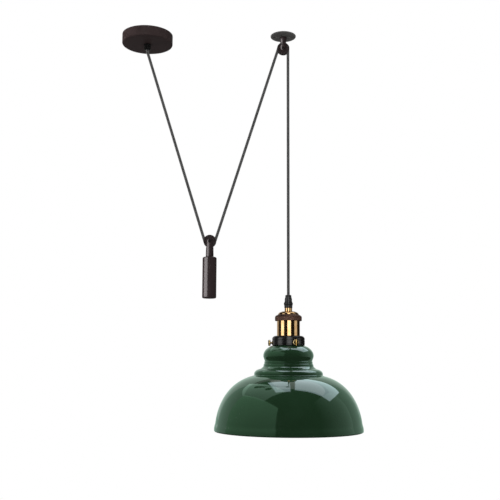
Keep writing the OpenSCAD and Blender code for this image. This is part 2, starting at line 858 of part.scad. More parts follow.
// The black cup that takes the shade's neck
module gallery() {
    r = gallery_d / 2;
    round = 4.5;
    outline = concat([[skirt_r + fit * 2, gallery_top]],
                     arc([r - round, gallery_top - round], round, 90, 0, 8),
                     [[r, gallery_top - 8], [r - 0.5, gallery_top - 8.4], [r - 0.5, gallery_top - 9.4],
                      [r, gallery_top - 9.8], [r, gallery_foot + 2.6], [r - 0.5, gallery_foot + 2.2],
                      [r - 0.5, gallery_foot + 1.6], [r, gallery_foot + 1.2], [r, gallery_foot]]);
    inner = concat([[r - gallery_wall, gallery_foot]],
                   arc([r - round, gallery_top - round], round - gallery_wall, 0, 90, 8),
                   [[skirt_r + fit * 2, gallery_roof]]);
    color(black)
        at_lamp()
            difference() {
                union() {
                    rotate_extrude() polygon(concat(outline, inner));
                    for (a = screw_angles)
                        rotate([0, 0, a])
                            translate([r - 0.8, 0, screw_z])
                                rotate([0, 90, 0]) cylinder(r = screw_d / 2 + 1.6, h = 1.8);
                }
                for (a = screw_angles)
                    rotate([0, 0, a])
                        translate([r - 6, 0, screw_z])
                            rotate([0, 90, 0]) cylinder(r = screw_d / 2 + 0.06, h = 12);
            }
}

// The threaded ring that clamps the gallery to the socket from below
module gallery_nut() {
    notches = 8;
    color(black)
        at_lamp()
            translate([0, 0, gallery_roof - gallery_nut_h])
                difference() {
                    cylinder(r = gallery_nut_r, h = gallery_nut_h);
                    translate([0, 0, -1]) cylinder(r = skirt_r + 0.1, h = gallery_nut_h + 2);
                    for (i = [0:notches - 1])
                        rotate([0, 0, i * 360 / notches])
                            translate([gallery_nut_r + 0.8, 0, -1])
                                cylinder(r = 1.8, h = gallery_nut_h + 2);
                }
}

dome_r = shade_d / 2 - rim_flare;
dome_low = 17;
dome_start = [collar_r + 4, shade_h - 61];
curl_r = 2.3;
lip_r = 1.1;
hem = 0.1;      // how far a rolled edge stands proud of the sheet
rim_r = shade_d / 2 - hem;

// The lower ends of the two pressed bands in the cove between the waist and the collar
band_foot = [waist_r + 0.5, shade_h - 35.2];
cove_foot = [waist_r + 3.4, shade_h - 41.2];

// The shade's outer face, from the lip of the neck down to the rim
shade_outline = concat(
    [[neck_r, neck_top - lip_r], [neck_r, shade_h + 0.8]],
    curve([neck_r + 0.6, shade_h], [neck_r + 9, shade_h - 0.6], [shoulder_r, shade_h - 9],
          [shoulder_r, shade_h - 19.5], 14),
    curve([shoulder_r, shade_h - 19.5], [shoulder_r, shade_h - 25.5], [waist_r, shade_h - 25.5],
          [waist_r, shade_h - 31.5], 10),
    curve([waist_r, shade_h - 31.5], [waist_r + 0.4, shade_h - 32.6], [waist_r + 0.8, shade_h - 34.1],
          band_foot, 4),
    curve(band_foot, band_foot + [1.3, -1.4], cove_foot + [-0.1, 1.8], cove_foot, 6),
    curve(cove_foot, cove_foot + [1.2, -2], [step_r - 1.6, shade_h - 44.8], [step_r, shade_h - 45.6], 5),
    curve([step_r, shade_h - 45.6], [step_r + 5.5, shade_h - 47.2], [collar_r - 0.6, shade_h - 48.6],
          [collar_r, shade_h - 54.2], 9),
    curve([collar_r, shade_h - 54.2], [collar_r, shade_h - 55.2], [collar_r - 0.4, shade_h - 55.8],
          [collar_r - 0.5, shade_h - 56.6], 3),
    curve([collar_r - 0.5, shade_h - 56.6], [collar_r - 0.4, shade_h - 58.6], dome_start + [-2.4, 0.8],
          dome_start, 6),
    curve(dome_start, dome_start + [0.85 * (dome_r - dome_start[0]), -0.17 * (dome_start[1] - dome_low)],
          [dome_r - 1.4, dome_low + 12], [dome_r, dome_low], 28),
    curve([dome_r, dome_low], [dome_r + 0.6, dome_low - 4.5], [rim_r - 0.2, 10], [rim_r, 5], 6),
    [[rim_r, 5], [rim_r, curl_r]]);

// The sheet's edge rolled into a ring of radius r
module rolled_edge(ring_r, z, r) {
    translate([0, 0, z])
        rotate_extrude()
            translate([ring_r, 0]) circle(r = r);
}

module shade() {
    color(green)
        at_lamp() {
            rotate_extrude() sheet(shade_outline, shade_wall);
            rolled_edge(neck_r + lip_r - shade_wall - hem, neck_top - lip_r, lip_r);
            rolled_edge(shade_d / 2 - curl_r, curl_r, curl_r);
        }
}

// ---- Thumb screws ---------------------------------------------------------------------------

module thumb_screw(a) {
    flutes = 20;
    color(brass)
        at_lamp()
            rotate([0, 0, a])
                translate([screw_tip, 0, screw_z])
                    rotate([0, 90, 0])
                        difference() {
                            union() {
                                cylinder(r = screw_d / 2, h = head_at - screw_tip + 1);
                                translate([0, 0, head_at - screw_tip - 0.6])
                                    cylinder(r1 = screw_d / 2 + 0.4, r2 = head_d / 2 - 1.4, h = 0.7);
                                translate([0, 0, head_at - screw_tip])
                                    rotate_extrude()
                                        polygon([[0, 0], [head_d / 2 - 0.5, 0], [head_d / 2, 0.5],
                                                 [head_d / 2, head_h - 0.6],
                                                 [head_d / 2 - 0.6, head_h], [0, head_h]]);
                            }
                            translate([-head_d, -0.8, head_at - screw_tip + head_h - 1.5])
                                cube([2 * head_d, 1.6, 3]);
                            for (i = [0:flutes - 1])
                                rotate([0, 0, (i + 0.5) * 360 / flutes])
                                    translate([head_d / 2 + 0.35, 0, head_at - screw_tip - 1])
                                        cylinder(r = 0.65, h = head_h + 2, $fn = 16);
                        }
}

module thumb_screw_front() {
    thumb_screw(screw_angles[0]);
}

module thumb_screw_right() {
    thumb_screw(screw_angles[1]);
}

module thumb_screw_left() {
    thumb_screw(screw_angles[2]);
}

ceiling_bracket();
earth_screw();
canopy();
canopy_side_screws();
canopy_cord_grip();
canopy_grip_nut();
canopy_grip_screw();
terminal_block();
terminal_screws();
core_live();
core_neutral();
core_earth();
pulley_plate();
ceiling_fork();
fork_screw();
ceiling_axle();
ceiling_axle_clip();
ceiling_wheel();
ceiling_wheel_bush();
cord_left();
cord_right();
cord_drop();
weight_wheel();
weight_wheel_bush();
weight_axle();
weight_axle_clip();
weight_fork();
weight_stud();
weight_cylinder();
lamp_grip_nut();
lamp_grip_body();
holder_cap();
holder_ring();
holder_barrel();
socket_core();
socket_terminals();
socket_skirt();
screw_shell();
centre_contact();
lamp_core_live();
lamp_core_neutral();
lamp_core_earth();
gallery();
gallery_nut();
shade();
thumb_screw_front();
thumb_screw_right();
thumb_screw_left();
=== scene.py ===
import math

import bpy
from mathutils import Matrix, Vector


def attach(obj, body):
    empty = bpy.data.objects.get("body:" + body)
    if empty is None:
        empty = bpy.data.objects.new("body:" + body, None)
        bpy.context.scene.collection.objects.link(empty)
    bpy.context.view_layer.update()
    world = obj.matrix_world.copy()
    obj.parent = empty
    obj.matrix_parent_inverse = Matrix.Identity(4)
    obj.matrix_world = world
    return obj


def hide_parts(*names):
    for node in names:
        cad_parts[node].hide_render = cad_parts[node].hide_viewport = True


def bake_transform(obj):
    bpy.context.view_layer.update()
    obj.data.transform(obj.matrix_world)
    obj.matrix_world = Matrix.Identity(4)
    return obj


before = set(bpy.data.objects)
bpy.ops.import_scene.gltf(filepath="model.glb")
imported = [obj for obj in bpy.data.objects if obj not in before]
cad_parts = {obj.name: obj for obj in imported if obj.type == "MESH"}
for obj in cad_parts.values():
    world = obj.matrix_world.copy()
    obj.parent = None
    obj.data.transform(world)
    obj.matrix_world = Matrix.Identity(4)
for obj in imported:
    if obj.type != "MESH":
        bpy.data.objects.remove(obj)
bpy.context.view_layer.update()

# A rise and fall pendant: a ceiling cup, a ceiling pulley, a braided flex that carries a
# counterweight, and a lamp with a brass holder and a green enamelled shade.
# The frame is in metres. Outlines are in millimetres, as (radius, height) round an axis.

mm = 0.001
print("frame loaded,", len(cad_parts), "CAD nodes")


# The camera stands level with the shade's neck and looks slightly up.

view = {"place": (0.2153, -1.585, -0.678), "tilt": 98.18, "roll": 0.3, "lens": 57.6, "sensor": 36}

facing = Matrix.Rotation(math.radians(view["tilt"]), 4, "X") @ Matrix.Rotation(
    math.radians(view["roll"]), 4, "Z")
bpy.ops.object.camera_add(location=view["place"], rotation=facing.to_euler())
camera = bpy.context.object
camera.data.lens = view["lens"]
camera.data.sensor_width = view["sensor"]
bpy.context.scene.camera = camera
print("camera placed")


# Lines that the outlines are drawn with.

def sweepTo(start, startPull, endPull, end, steps):  # a cubic curve without its end point
    points = []
    for i in range(steps):
        t, u = i / steps, 1 - i / steps
        shares = (u * u * u, 3 * u * u * t, 3 * u * t * t, t * t * t)
        corners = (start, startPull, endPull, end)
        points.append(tuple(sum(share * corner[k] for share, corner in zip(shares, corners))
                            for k in (0, 1)))
    return points


def roundOff(centre, radius, firstAngle, lastAngle, steps):  # an arc, with both its ends
    points = []
    for i in range(steps + 1):
        angle = math.radians(firstAngle + (lastAngle - firstAngle) * i / steps)
        points.append((centre[0] + radius * math.cos(angle), centre[1] + radius * math.sin(angle)))
    return points


def inset(line, thickness):  # the same line, moved to its right by a wall's thickness
    moved = []
    for i, point in enumerate(line):
        before, after = line[max(i, 1) - 1], line[min(i + 1, len(line) - 1)]
        here = Vector(line[max(i, 1)]) - Vector(before)
        there = Vector(after) - Vector(line[min(i + 1, len(line) - 1) - 1])
        here.normalize()
        there.normalize()
        middle = (here + there).normalized()
        stretch = thickness / max(0.5, middle.dot(here))
        moved.append((point[0] + middle.y * stretch, point[1] - middle.x * stretch))
    return moved


# Shortcuts for the modelling steps that come again and again.

def deselect():
    bpy.ops.object.select_all(action="DESELECT")


def alone(piece):  # only this piece is selected and active
    deselect()
    bpy.context.view_layer.objects.active = piece
    piece.select_set(True)


def startEditing(select=None):
    bpy.ops.object.mode_set(mode="EDIT")
    if select:
        bpy.ops.mesh.select_all(action=select)


def stopEditing():
    bpy.ops.object.mode_set(mode="OBJECT")


def pick(piece, kind, isWanted):  # starts editing with only the wanted points or faces selected
    alone(piece)
    startEditing("DESELECT")
    stopEditing()
    for item in getattr(piece.data, kind):
        item.select = isWanted(item)
    startEditing()


def smooth(piece, below=32):  # smooth shading, but for edges sharper than this
    alone(piece)
    bpy.ops.object.shade_smooth_by_angle(angle=math.radians(below))


# Node helpers for the materials.

def paint(red, green, blue):  # a colour as a paint chart writes it, 0 to 255
    linear = []
    for value in (red, green, blue):
        share = value / 255
        linear.append(share / 12.92 if share <= 0.04045 else ((share + 0.055) / 1.055) ** 2.4)
    return (*linear, 1)


def newMaterial(name):
    material = bpy.data.materials.new(name)
    material.use_nodes = True
    return material, material.node_tree, material.node_tree.nodes["Principled BSDF"]


def calc(tree, operation, *values):
    node = tree.nodes.new("ShaderNodeMath")
    node.operation = operation
    for socket, value in zip(node.inputs, values):
        if isinstance(value, (int, float)):
            socket.default_value = value
        else:
            tree.links.new(value, socket)
    return node.outputs[0]


def placeOf(tree, stretch=(1, 1, 1)):  # object coordinates, closer together along an axis
    coordinates = tree.nodes.new("ShaderNodeTexCoord")
    mapping = tree.nodes.new("ShaderNodeMapping")
    mapping.inputs["Scale"].default_value = stretch
    tree.links.new(coordinates.outputs["Object"], mapping.inputs["Vector"])
    return mapping.outputs["Vector"]


def noise(tree, point, scale, detail=3.0, roughness=0.5):
    node = tree.nodes.new("ShaderNodeTexNoise")
    node.inputs["Scale"].default_value = scale
    node.inputs["Detail"].default_value = detail
    node.inputs["Roughness"].default_value = roughness
    tree.links.new(point, node.inputs["Vector"])
    return node.outputs["Fac"]


def tones(tree, value, *stops):  # a colour ramp through (place, colour)
    node = tree.nodes.new("ShaderNodeValToRGB")
    ramp = node.color_ramp
    while len(ramp.elements) < len(stops):
        ramp.elements.new(0.5)
    for element, (position, colour) in zip(ramp.elements, stops):
        element.position = position
        element.color = colour
    tree.links.new(value, node.inputs["Fac"])
    return node.outputs["Color"]


def between(tree, value, low, high, start=0.3, end=0.7):
    node = tree.nodes.new("ShaderNodeMapRange")
    for socket, number in zip(("From Min", "From Max", "To Min", "To Max"), (start, end, low, high)):
        node.inputs[socket].default_value = number
    tree.links.new(value, node.inputs["Value"])
    return node.outputs["Result"]


def mixed(tree, share, first, second):  # one colour over another
    node = tree.nodes.new("ShaderNodeMix")
    node.data_type = "RGBA"
    tree.links.new(share, node.inputs["Factor"])
    for name, value in (("A", first), ("B", second)):
        socket = [s for s in node.inputs if s.name == name and s.type == "RGBA"][0]
        if isinstance(value, tuple):
            socket.default_value = value
        else:
            tree.links.new(value, socket)
    return [s for s in node.outputs if s.type == "RGBA"][0]


def relief(tree, height, distance, strength=1.0, under=None):
    node = tree.nodes.new("ShaderNodeBump")
    node.inputs["Strength"].default_value = strength
    node.inputs["Distance"].default_value = distance
    tree.links.new(height, node.inputs["Height"])
    if under:
        tree.links.new(under, node.inputs["Normal"])
    return node.outputs["Normal"]


def finishShader(tree, shader, colour=None, roughness=None, normal=None, **sockets):
    for name, value in (("Base Color", colour), ("Roughness", roughness), ("Normal", normal)):
        if value is not None:
            tree.links.new(value, shader.inputs[name])
    for name, value in sockets.items():
        shader.inputs[name.replace("_", " ")].default_value = value


# The flex's braid: two sets of strands, wound left and right, that pass over each other.

def braidMaterial():
    braid = {"strands": 8, "lead": 0.024, "dark": paint(66, 66, 66), "light": paint(112, 112, 110),
             "thread": 0.00028}
    material, tree, shader = newMaterial("flexBraid")
    chart = tree.nodes.new("ShaderNodeUVMap")
    chart.uv_map = "wound"
    parts = tree.nodes.new("ShaderNodeSeparateXYZ")
    tree.links.new(chart.outputs["UV"], parts.inputs["Vector"])
    length = calc(tree, "DIVIDE", parts.outputs["X"], braid["lead"])
    leftWay = calc(tree, "MULTIPLY", calc(tree, "ADD", parts.outputs["Y"], length), braid["strands"])
    rightWay = calc(tree, "MULTIPLY", calc(tree, "SUBTRACT", parts.outputs["Y"], length),
                    braid["strands"])
    crown = []
    for way in (leftWay, rightWay):
        across = calc(tree, "FRACT", way)
        crown.append(calc(tree, "SINE", calc(tree, "MULTIPLY", across, math.pi)))
    cell = calc(tree, "ADD", calc(tree, "FLOOR", leftWay), calc(tree, "FLOOR", rightWay))
    onTop = calc(tree, "PINGPONG", cell, 1)  # 1 where the left-wound strand lies on top
    height = calc(tree, "ADD", calc(tree, "MULTIPLY", crown[0], onTop),
                  calc(tree, "MULTIPLY", crown[1], calc(tree, "SUBTRACT", 1, onTop)))
    fibres = noise(tree, placeOf(tree), 2600, 4, 0.7)
    pale = calc(tree, "PINGPONG", calc(tree, "FLOOR", leftWay), 1)
    share = calc(tree, "MULTIPLY", calc(tree, "MULTIPLY", pale, onTop), 0.75)
    strandTone = mixed(tree, share, braid["dark"], braid["light"])
    # painted shade: the strand colour darkens towards near black where the strands dip into the gaps
    # between them
    strandsWithGapShade = mixed(tree, between(tree, height, 0.55, 0, 0, 0.6), strandTone, paint(26, 26, 27))
    worn = mixed(tree, between(tree, fibres, 0, 0.35, 0.45, 0.75), strandsWithGapShade, braid["light"])
    lift = calc(tree, "ADD", height, calc(tree, "MULTIPLY", fibres, 0.35))
    finishShader(tree, shader, worn, between(tree, fibres, 0.75, 0.95),
                 relief(tree, lift, braid["thread"], 0.8), Sheen_Weight=0.25, Sheen_Roughness=0.5,
                 Specular_IOR_Level=0.25)
    return material


# The flex, in the three stretches that meet on the pulleys.

flex = {"radius": 2.88, "sides": 16, "step": 4.0, "bend": 20.0, "wheelLine": 9.9,
        "slant": 17.3516, "start": (0, -13.9), "gripBend": (20, -32),
        "weightWheel": (134.712, -433.0), "ceilingWheel": (282, -28), "end": (291.9, -577.2)}


def filledIn(corners, step):  # points along a line, no further apart than step
    points = [Vector(corners[0])]
    for corner in corners[1:]:
        start, end = points[-1], Vector(corner)
        count = max(1, math.ceil((end - start).length / step))
        points += [start.lerp(end, (i + 1) / count) for i in range(count)]
    return points


def tube(name, line, radius, sides):  # a round tube on a line in the plane of the pulleys
    corners, faces, charts = [], [], []
    lengths = [0.0]
    for before, after in zip(line, line[1:]):
        lengths.append(lengths[-1] + (after - before).length)
    for i, point in enumerate(line):
        ahead = (line[min(i + 1, len(line) - 1)] - line[max(i - 1, 0)]).normalized()
        outward = Vector((ahead.y, -ahead.x))
        for k in range(sides):
            angle = 2 * math.pi * k / sides
            reach = radius * math.cos(angle)
            corners.append(((point.x + outward.x * reach) * mm, radius * math.sin(angle) * mm,
                            (point.y + outward.y * reach) * mm))
    for i in range(len(line) - 1):
        for k in range(sides):
            after = (k + 1) % sides
            faces.append((i * sides + k, i * sides + after, (i + 1) * sides + after,
                          (i + 1) * sides + k))
            near, far = lengths[i] * mm, lengths[i + 1] * mm
            charts += [(near, k / sides), (near, (k + 1) / sides), (far, (k + 1) / sides),
                       (far, k / sides)]
    for ring in (0, len(line) - 1):
        faces.append(tuple(ring * sides + k for k in range(sides)))
        charts += [(lengths[ring] * mm, k / sides) for k in range(sides)]
    mesh = bpy.data.meshes.new(name)
    mesh.from_pydata(corners, [], faces)
    chart = mesh.uv_layers.new(name="wound")
    for place, (u, v) in zip(chart.data, charts):
        place.uv = (u, v)
    piece = bpy.data.objects.new(name, mesh)
    bpy.context.scene.collection.objects.link(piece)
    alone(piece)
    startEditing("SELECT")
    bpy.ops.mesh.normals_make_consistent(inside=False)
    stopEditing()
    smooth(piece, 50)
    return piece, [(point.x * mm, 0, point.y * mm) for point in line], lengths[-1] * mm


def roundWheel(wheel, firstAngle, lastAngle):
    return roundOff(flex[wheel], flex["wheelLine"], firstAngle, lastAngle, 20)


braid = braidMaterial()
leftLine = [flex["start"]] + roundOff(flex["gripBend"], flex["bend"], 180, 180 + flex["slant"], 6)
leftLine += roundWheel("weightWheel", 180 + flex["slant"], 270)
rightLine = roundWheel("weightWheel", 270, 360 - flex["slant"])
rightLine += roundWheel("ceilingWheel", 180 - flex["slant"], 90)
dropLine = roundWheel("ceilingWheel", 90, 0) + [flex["end"]]
stretches = {
    "cordLeft": {"line": leftLine, "replaces": "cord_left", "from": "ceiling", "to": "counterweight",
                 "start": (0.0009, 0, -0.038), "end": (0.12526, 0, -0.43595)},
    "cordRight": {"line": rightLine, "replaces": "cord_right", "from": "ceiling",
                  "to": "counterweight", "start": (0.27255, 0, -0.02505),
                  "end": (0.14416, 0, -0.43595)},
    "cordDrop": {"line": dropLine, "replaces": "cord_drop", "from": "ceiling", "to": "lamp",
                 "start": (0.2919, 0, -0.028), "end": (0.2919, 0, -0.5772)},
}
for name, stretch in stretches.items():
    piece, path, length = tube(name, filledIn(stretch["line"], flex["step"]), flex["radius"],
                               flex["sides"])
    piece.data.materials.append(braid)
    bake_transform(piece)
    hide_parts(stretch["replaces"])
    print(name, "laid,", round(length, 4), "m")


# Modelling helpers. Every piece is finished at the origin, with its place in its mesh.

def settle(piece, name):
    alone(piece)
    piece.name = piece.data.name = name
    bpy.ops.object.transform_apply(location=True, rotation=True, scale=True)
    smooth(piece)
    return piece


flatStretch = {"longerThan": 2, "cornerBelow": 0.985, "nearCorner": 0.35}


def heldFlat(outline, closed):  # a point near each corner keeps a long straight stretch flat
    corners = [Vector(point) for i, point in enumerate(outline)
               if i == 0 or point != outline[i - 1]]
    ends = corners + corners[:1] if closed else corners
    ways = [(after - before).normalized() for before, after in zip(ends, ends[1:])]
    sharp, near = flatStretch["cornerBelow"], flatStretch["nearCorner"]
    points = []
    for i, (before, after) in enumerate(zip(ends, ends[1:])):
        points.append(before)
        isLong = (after - before).length > flatStretch["longerThan"]
        onward = ways[(i + 1) % len(ways)]
        if isLong and (closed or i > 0) and ways[i].dot(ways[i - 1]) < sharp:
            points.append(before + ways[i] * near)
        if isLong and (closed or i < len(ways) - 1) and ways[i].dot(onward) < sharp:
            points.append(after - ways[i] * near)
    return points if closed else points + ends[-1:]


def turned(name, outline, place, axis=(0, 0, 1), sides=96, closed=False):  # turned on a lathe
    axis = Vector(axis).normalized()
    side = axis.orthogonal().normalized()
    outline = heldFlat(outline, closed)
    points = [Vector(place) + (axis * height + side * radius) * mm for radius, height in outline]
    if closed:
        points.append(points[0])
    deselect()
    bpy.ops.mesh.primitive_plane_add(size=mm, location=points[0])
    piece = bpy.context.object
    startEditing("SELECT")
    bpy.ops.mesh.merge(type="CENTER")
    for before, after in zip(points, points[1:]):
        bpy.ops.mesh.extrude_vertices_move(TRANSFORM_OT_translate={"value": after - before})
    bpy.ops.mesh.select_all(action="SELECT")
    bpy.ops.mesh.spin(steps=sides, angle=2 * math.pi, center=place, axis=axis)
    bpy.ops.mesh.select_all(action="SELECT")
    bpy.ops.mesh.remove_doubles(threshold=0.000002)
    bpy.ops.mesh.normals_make_consistent(inside=False)
    stopEditing()
    return settle(piece, name)


def rod(radius, length, place, axis=(0, 0, 1), sides=64):  # a round cutter or boss
    deselect()
    turn = Vector(axis).to_track_quat("Z", "Y").to_euler()
    bpy.ops.mesh.primitive_cylinder_add(vertices=sides, radius=radius * mm, depth=length * mm,
                                        location=place, rotation=turn)
    return settle(bpy.context.object, "rod")


def block(size, place):  # a square cutter
    deselect()
    bpy.ops.mesh.primitive_cube_add(size=1, location=place)
    bpy.context.object.scale = [side * mm for side in size]
    return settle(bpy.context.object, "block")


def joinWith(piece, other, operation):  # cuts the other shape out, or adds it
    alone(piece)
    bpy.ops.object.modifier_add(type="BOOLEAN")
    modifier = piece.modifiers[-1]
    modifier.operation = operation
    modifier.solver = "EXACT"
    modifier.object = other
    bpy.ops.object.modifier_apply(modifier=modifier.name)
    bpy.data.objects.remove(other)


def soften(piece, width, angle=40, segments=2):  # broken edges catch the light
    alone(piece)
    bpy.ops.object.modifier_add(type="BEVEL")
    modifier = piece.modifiers[-1]
    modifier.width = width * mm
    modifier.segments = segments
    modifier.limit_method = "ANGLE"
    modifier.angle_limit = math.radians(angle)
    modifier.harden_normals = False
    bpy.ops.object.modifier_apply(modifier=modifier.name)
    smooth(piece)


def milled(piece, place, axis, count, depth, low, high, inner):  # straight grooves round an edge
    axis, place = Vector(axis).normalized(), Vector(place)
    side = axis.orthogonal().normalized()
    other = axis.cross(side)

    def inGroove(vertex):
        reach = vertex.co - place
        height = reach.dot(axis) / mm
        flatReach = reach - axis * reach.dot(axis)
        turns = math.atan2(flatReach.dot(other), flatReach.dot(side)) / (2 * math.pi) * count
        onEdge = low <= height <= high and flatReach.length > inner * mm
        return onEdge and abs(turns - round(turns)) < 0.2

    pick(piece, "vertices", inGroove)
    factors = [1 - depth / inner if abs(part) < 0.5 else 1 for part in axis]
    bpy.ops.transform.resize(value=factors, center_override=place)
    stopEditing()


def show(piece, body, node, finish):  # the piece stands for a CAD node on its body
    piece.data.materials.clear()
    piece.data.materials.append(finishes[finish])
    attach(piece, body)
    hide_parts(node)
    print(piece.name, "made,", len(piece.data.polygons), "faces")


# Finishes.

def enamelMaterial(name, dark, light, gloss, peel):  # stove enamel: glossy, with a faint orange peel
    material, tree, shader = newMaterial(name)
    broad = noise(tree, placeOf(tree), 14, 3, 0.55)
    fine = noise(tree, placeOf(tree), 900, 2, 0.5)
    specks = noise(tree, placeOf(tree), 2400, 1, 0.5)
    colour = tones(tree, broad, (0.3, dark), (0.7, light))
    dusty = mixed(tree, between(tree, specks, 0, 0.12, 0.72, 0.8), colour, light)
    wiped = noise(tree, placeOf(tree, (1, 1, 0.3)), 30, 4, 0.6)
    finishShader(tree, shader, dusty, between(tree, wiped, gloss * 0.7, gloss * 1.5),
                 relief(tree, calc(tree, "ADD", fine, calc(tree, "MULTIPLY", broad, 6)), peel, 0.35),
                 IOR=1.52)
    return material


def bronzeMaterial(name, dark, light, rough, lines, metallic=0.15, gloss=0.5):  # bronzed steel
    material, tree, shader = newMaterial(name)
    patches = noise(tree, placeOf(tree), 45, 4, 0.6)
    turning = noise(tree, placeOf(tree, lines), 420, 3, 0.6)
    grains = noise(tree, placeOf(tree), 1500, 2, 0.6)
    colour = tones(tree, patches, (0.3, dark), (0.7, light))
    fine = mixed(tree, between(tree, turning, 0, 0.25, 0.4, 0.65), colour, light)
    corners = tree.nodes.new("ShaderNodeNewGeometry").outputs["Pointiness"]
    worn = mixed(tree, between(tree, corners, 0, 0.2, 0.54, 0.62), fine, paint(112, 92, 80))
    bumps = relief(tree, grains, 0.00002, 0.04, relief(tree, turning, 0.00003, 0.04))
    finishShader(tree, shader, worn, between(tree, patches, rough * 0.85, rough * 1.2), bumps,
                 Metallic=metallic, IOR=1.5, Specular_IOR_Level=gloss)
    return material


def brassMaterial(name, dark, light, rough, lines, tarnish=0.35):  # lacquered turned brass
    material, tree, shader = newMaterial(name)
    patches = noise(tree, placeOf(tree), 110, 4, 0.6)
    turning = noise(tree, placeOf(tree, lines), 300, 3, 0.6)
    colour = tones(tree, patches, (0.25, dark), (0.6, light))
    spots = mixed(tree, between(tree, noise(tree, placeOf(tree), 420, 3, 0.65), 0, tarnish, 0.6, 0.75),
                  colour, dark)
    finishShader(tree, shader, spots, between(tree, turning, rough * 0.7, rough * 1.4),
                 relief(tree, turning, 0.00003, 0.2), Metallic=1.0)
    return material


def plasticMaterial(name, dark, light, rough, grain):  # moulded black or white parts
    material, tree, shader = newMaterial(name)
    flow = noise(tree, placeOf(tree), 60, 3, 0.6)
    fine = noise(tree, placeOf(tree), 1500, 3, 0.6)
    colour = tones(tree, flow, (0.3, dark), (0.7, light))
    scuffs = between(tree, noise(tree, placeOf(tree, (1, 1, 3)), 500, 4, 0.7), rough * 0.8,
                     rough * 1.35)
    finishShader(tree, shader, colour, scuffs, relief(tree, fine, grain, 0.4), IOR=1.5)
    return material


def ironMaterial(name, dark, light, rough, metallic=0.4, gloss=0.5):  # painted or blackened iron
    material, tree, shader = newMaterial(name)
    patches = noise(tree, placeOf(tree), 120, 5, 0.65)
    grain = noise(tree, placeOf(tree), 1100, 4, 0.6)
    edge = tree.nodes.new("ShaderNodeNewGeometry").outputs["Pointiness"]
    colour = tones(tree, patches, (0.3, dark), (0.7, light))
    worn = mixed(tree, between(tree, edge, 0, 0.6, 0.54, 0.62), colour, paint(150, 148, 144))
    finishShader(tree, shader, worn, between(tree, grain, rough * 0.8, rough * 1.3),
                 relief(tree, grain, 0.00005, 0.3), Metallic=metallic, Specular_IOR_Level=gloss)
    return material


def steelMaterial(name, dark, light, rough):  # zinc-plated steel, inside the cup and the joints
    material, tree, shader = newMaterial(name)
    spangle = tree.nodes.new("ShaderNodeTexVoronoi")
    spangle.inputs["Scale"].default_value = 380
    tree.links.new(placeOf(tree), spangle.inputs["Vector"])
    streaks = noise(tree, placeOf(tree, (0.15, 1, 1)), 900, 3, 0.6)
    share = calc(tree, "MULTIPLY", spangle.outputs["Distance"], 1.4)
    colour = tones(tree, share, (0.1, dark), (0.9, light))
    finishShader(tree, shader, colour, between(tree, streaks, rough * 0.7, rough * 1.4),
                 relief(tree, streaks, 0.00002, 0.3), Metallic=1.0)
    return material


def earthMaterial():  # the earth core: green with a yellow stripe wound round it
    material, tree, shader = newMaterial("earthCore")
    wave = tree.nodes.new("ShaderNodeTexWave")
    wave.inputs["Scale"].default_value = 90
    wave.inputs["Distortion"].default_value = 1.5
    tree.links.new(placeOf(tree), wave.inputs["Vector"])
    colour = tones(tree, wave.outputs["Fac"], (0.45, paint(40, 130, 60)),
                   (0.55, paint(215, 205, 50)))
    sheen = noise(tree, placeOf(tree), 900, 3)
    finishShader(tree, shader, colour, between(tree, sheen, 0.3, 0.5),
                 relief(tree, sheen, 0.00003, 0.3))
    return material


# Each finish: how it is made, its name, its darker and its lighter colour, and its roughness.
aroundZ, anyWay = (0.02, 0.02, 1), (1, 1, 1)  # turning marks run round the axis, or nowhere
recipes = {
    "cup": (bronzeMaterial, "bronzedCup", (54, 43, 42), (64, 52, 52), 0.45, aroundZ, 0, 0.2),
    "fork": (bronzeMaterial, "bronzedFork", (46, 37, 38), (58, 47, 48), 0.3, aroundZ),
    "weight": (bronzeMaterial, "bronzedWeight", (56, 46, 47), (64, 53, 54), 0.2, aroundZ),
    "ring": (bronzeMaterial, "bronzedRing", (60, 38, 29), (98, 70, 57), 0.34, aroundZ, 0.6),
    "brass": (brassMaterial, "lacqueredBrass", (206, 156, 98), (232, 194, 140), 0.1, aroundZ, 0.2),
    "screws": (brassMaterial, "screwBrass", (190, 164, 112), (230, 208, 156), 0.16, anyWay),
    "contacts": (brassMaterial, "contactBrass", (170, 130, 70), (214, 180, 110), 0.22, anyWay),
    "shade": (enamelMaterial, "greenEnamel", (25, 46, 28), (30, 52, 34), 0.05, 0.00002),
    "lining": (enamelMaterial, "whiteEnamel", (214, 213, 204), (226, 225, 217), 0.12, 0.00004),
    "grips": (plasticMaterial, "gripBlack", (20, 20, 20), (30, 30, 29), 0.32, 0.00003),
    "gallery": (plasticMaterial, "galleryBlack", (16, 16, 16), (22, 22, 21), 0.2, 0.00002),
    "skirt": (plasticMaterial, "skirtBlack", (18, 17, 16), (28, 26, 25), 0.35, 0.00004),
    "ceramic": (plasticMaterial, "glazedCeramic", (214, 209, 196), (232, 228, 218), 0.14, 0.00002),
    "nylon": (plasticMaterial, "nylonWhite", (205, 205, 200), (222, 222, 218), 0.45, 0.00003),
    "plate": (ironMaterial, "plateIron", (80, 80, 78), (104, 103, 101), 0.5, 0.1, 0.15),
    "wheel": (ironMaterial, "wheelPaint", (42, 35, 35), (58, 48, 48), 0.45, 0.1, 0.3),
    "axle": (ironMaterial, "axleSteel", (30, 27, 27), (50, 46, 45), 0.35),
    "steel": (steelMaterial, "zincSteel", (150, 151, 152), (190, 190, 188), 0.34),
    "dark steel": (ironMaterial, "screwBlack", (22, 22, 22), (40, 39, 39), 0.36),
    "brown": (plasticMaterial, "brownCore", (84, 46, 26), (100, 58, 34), 0.4, 0.00003),
    "blue": (plasticMaterial, "blueCore", (36, 78, 150), (50, 96, 172), 0.4, 0.00003),
}
finishes = {}
for finish, (make, name, dark, light, *rest) in recipes.items():
    finishes[finish] = make(name, paint(*dark), paint(*light), *rest)
finishes["earth"] = earthMaterial()
print(len(finishes), "finishes mixed")


# The ceiling cup and its cord grip.

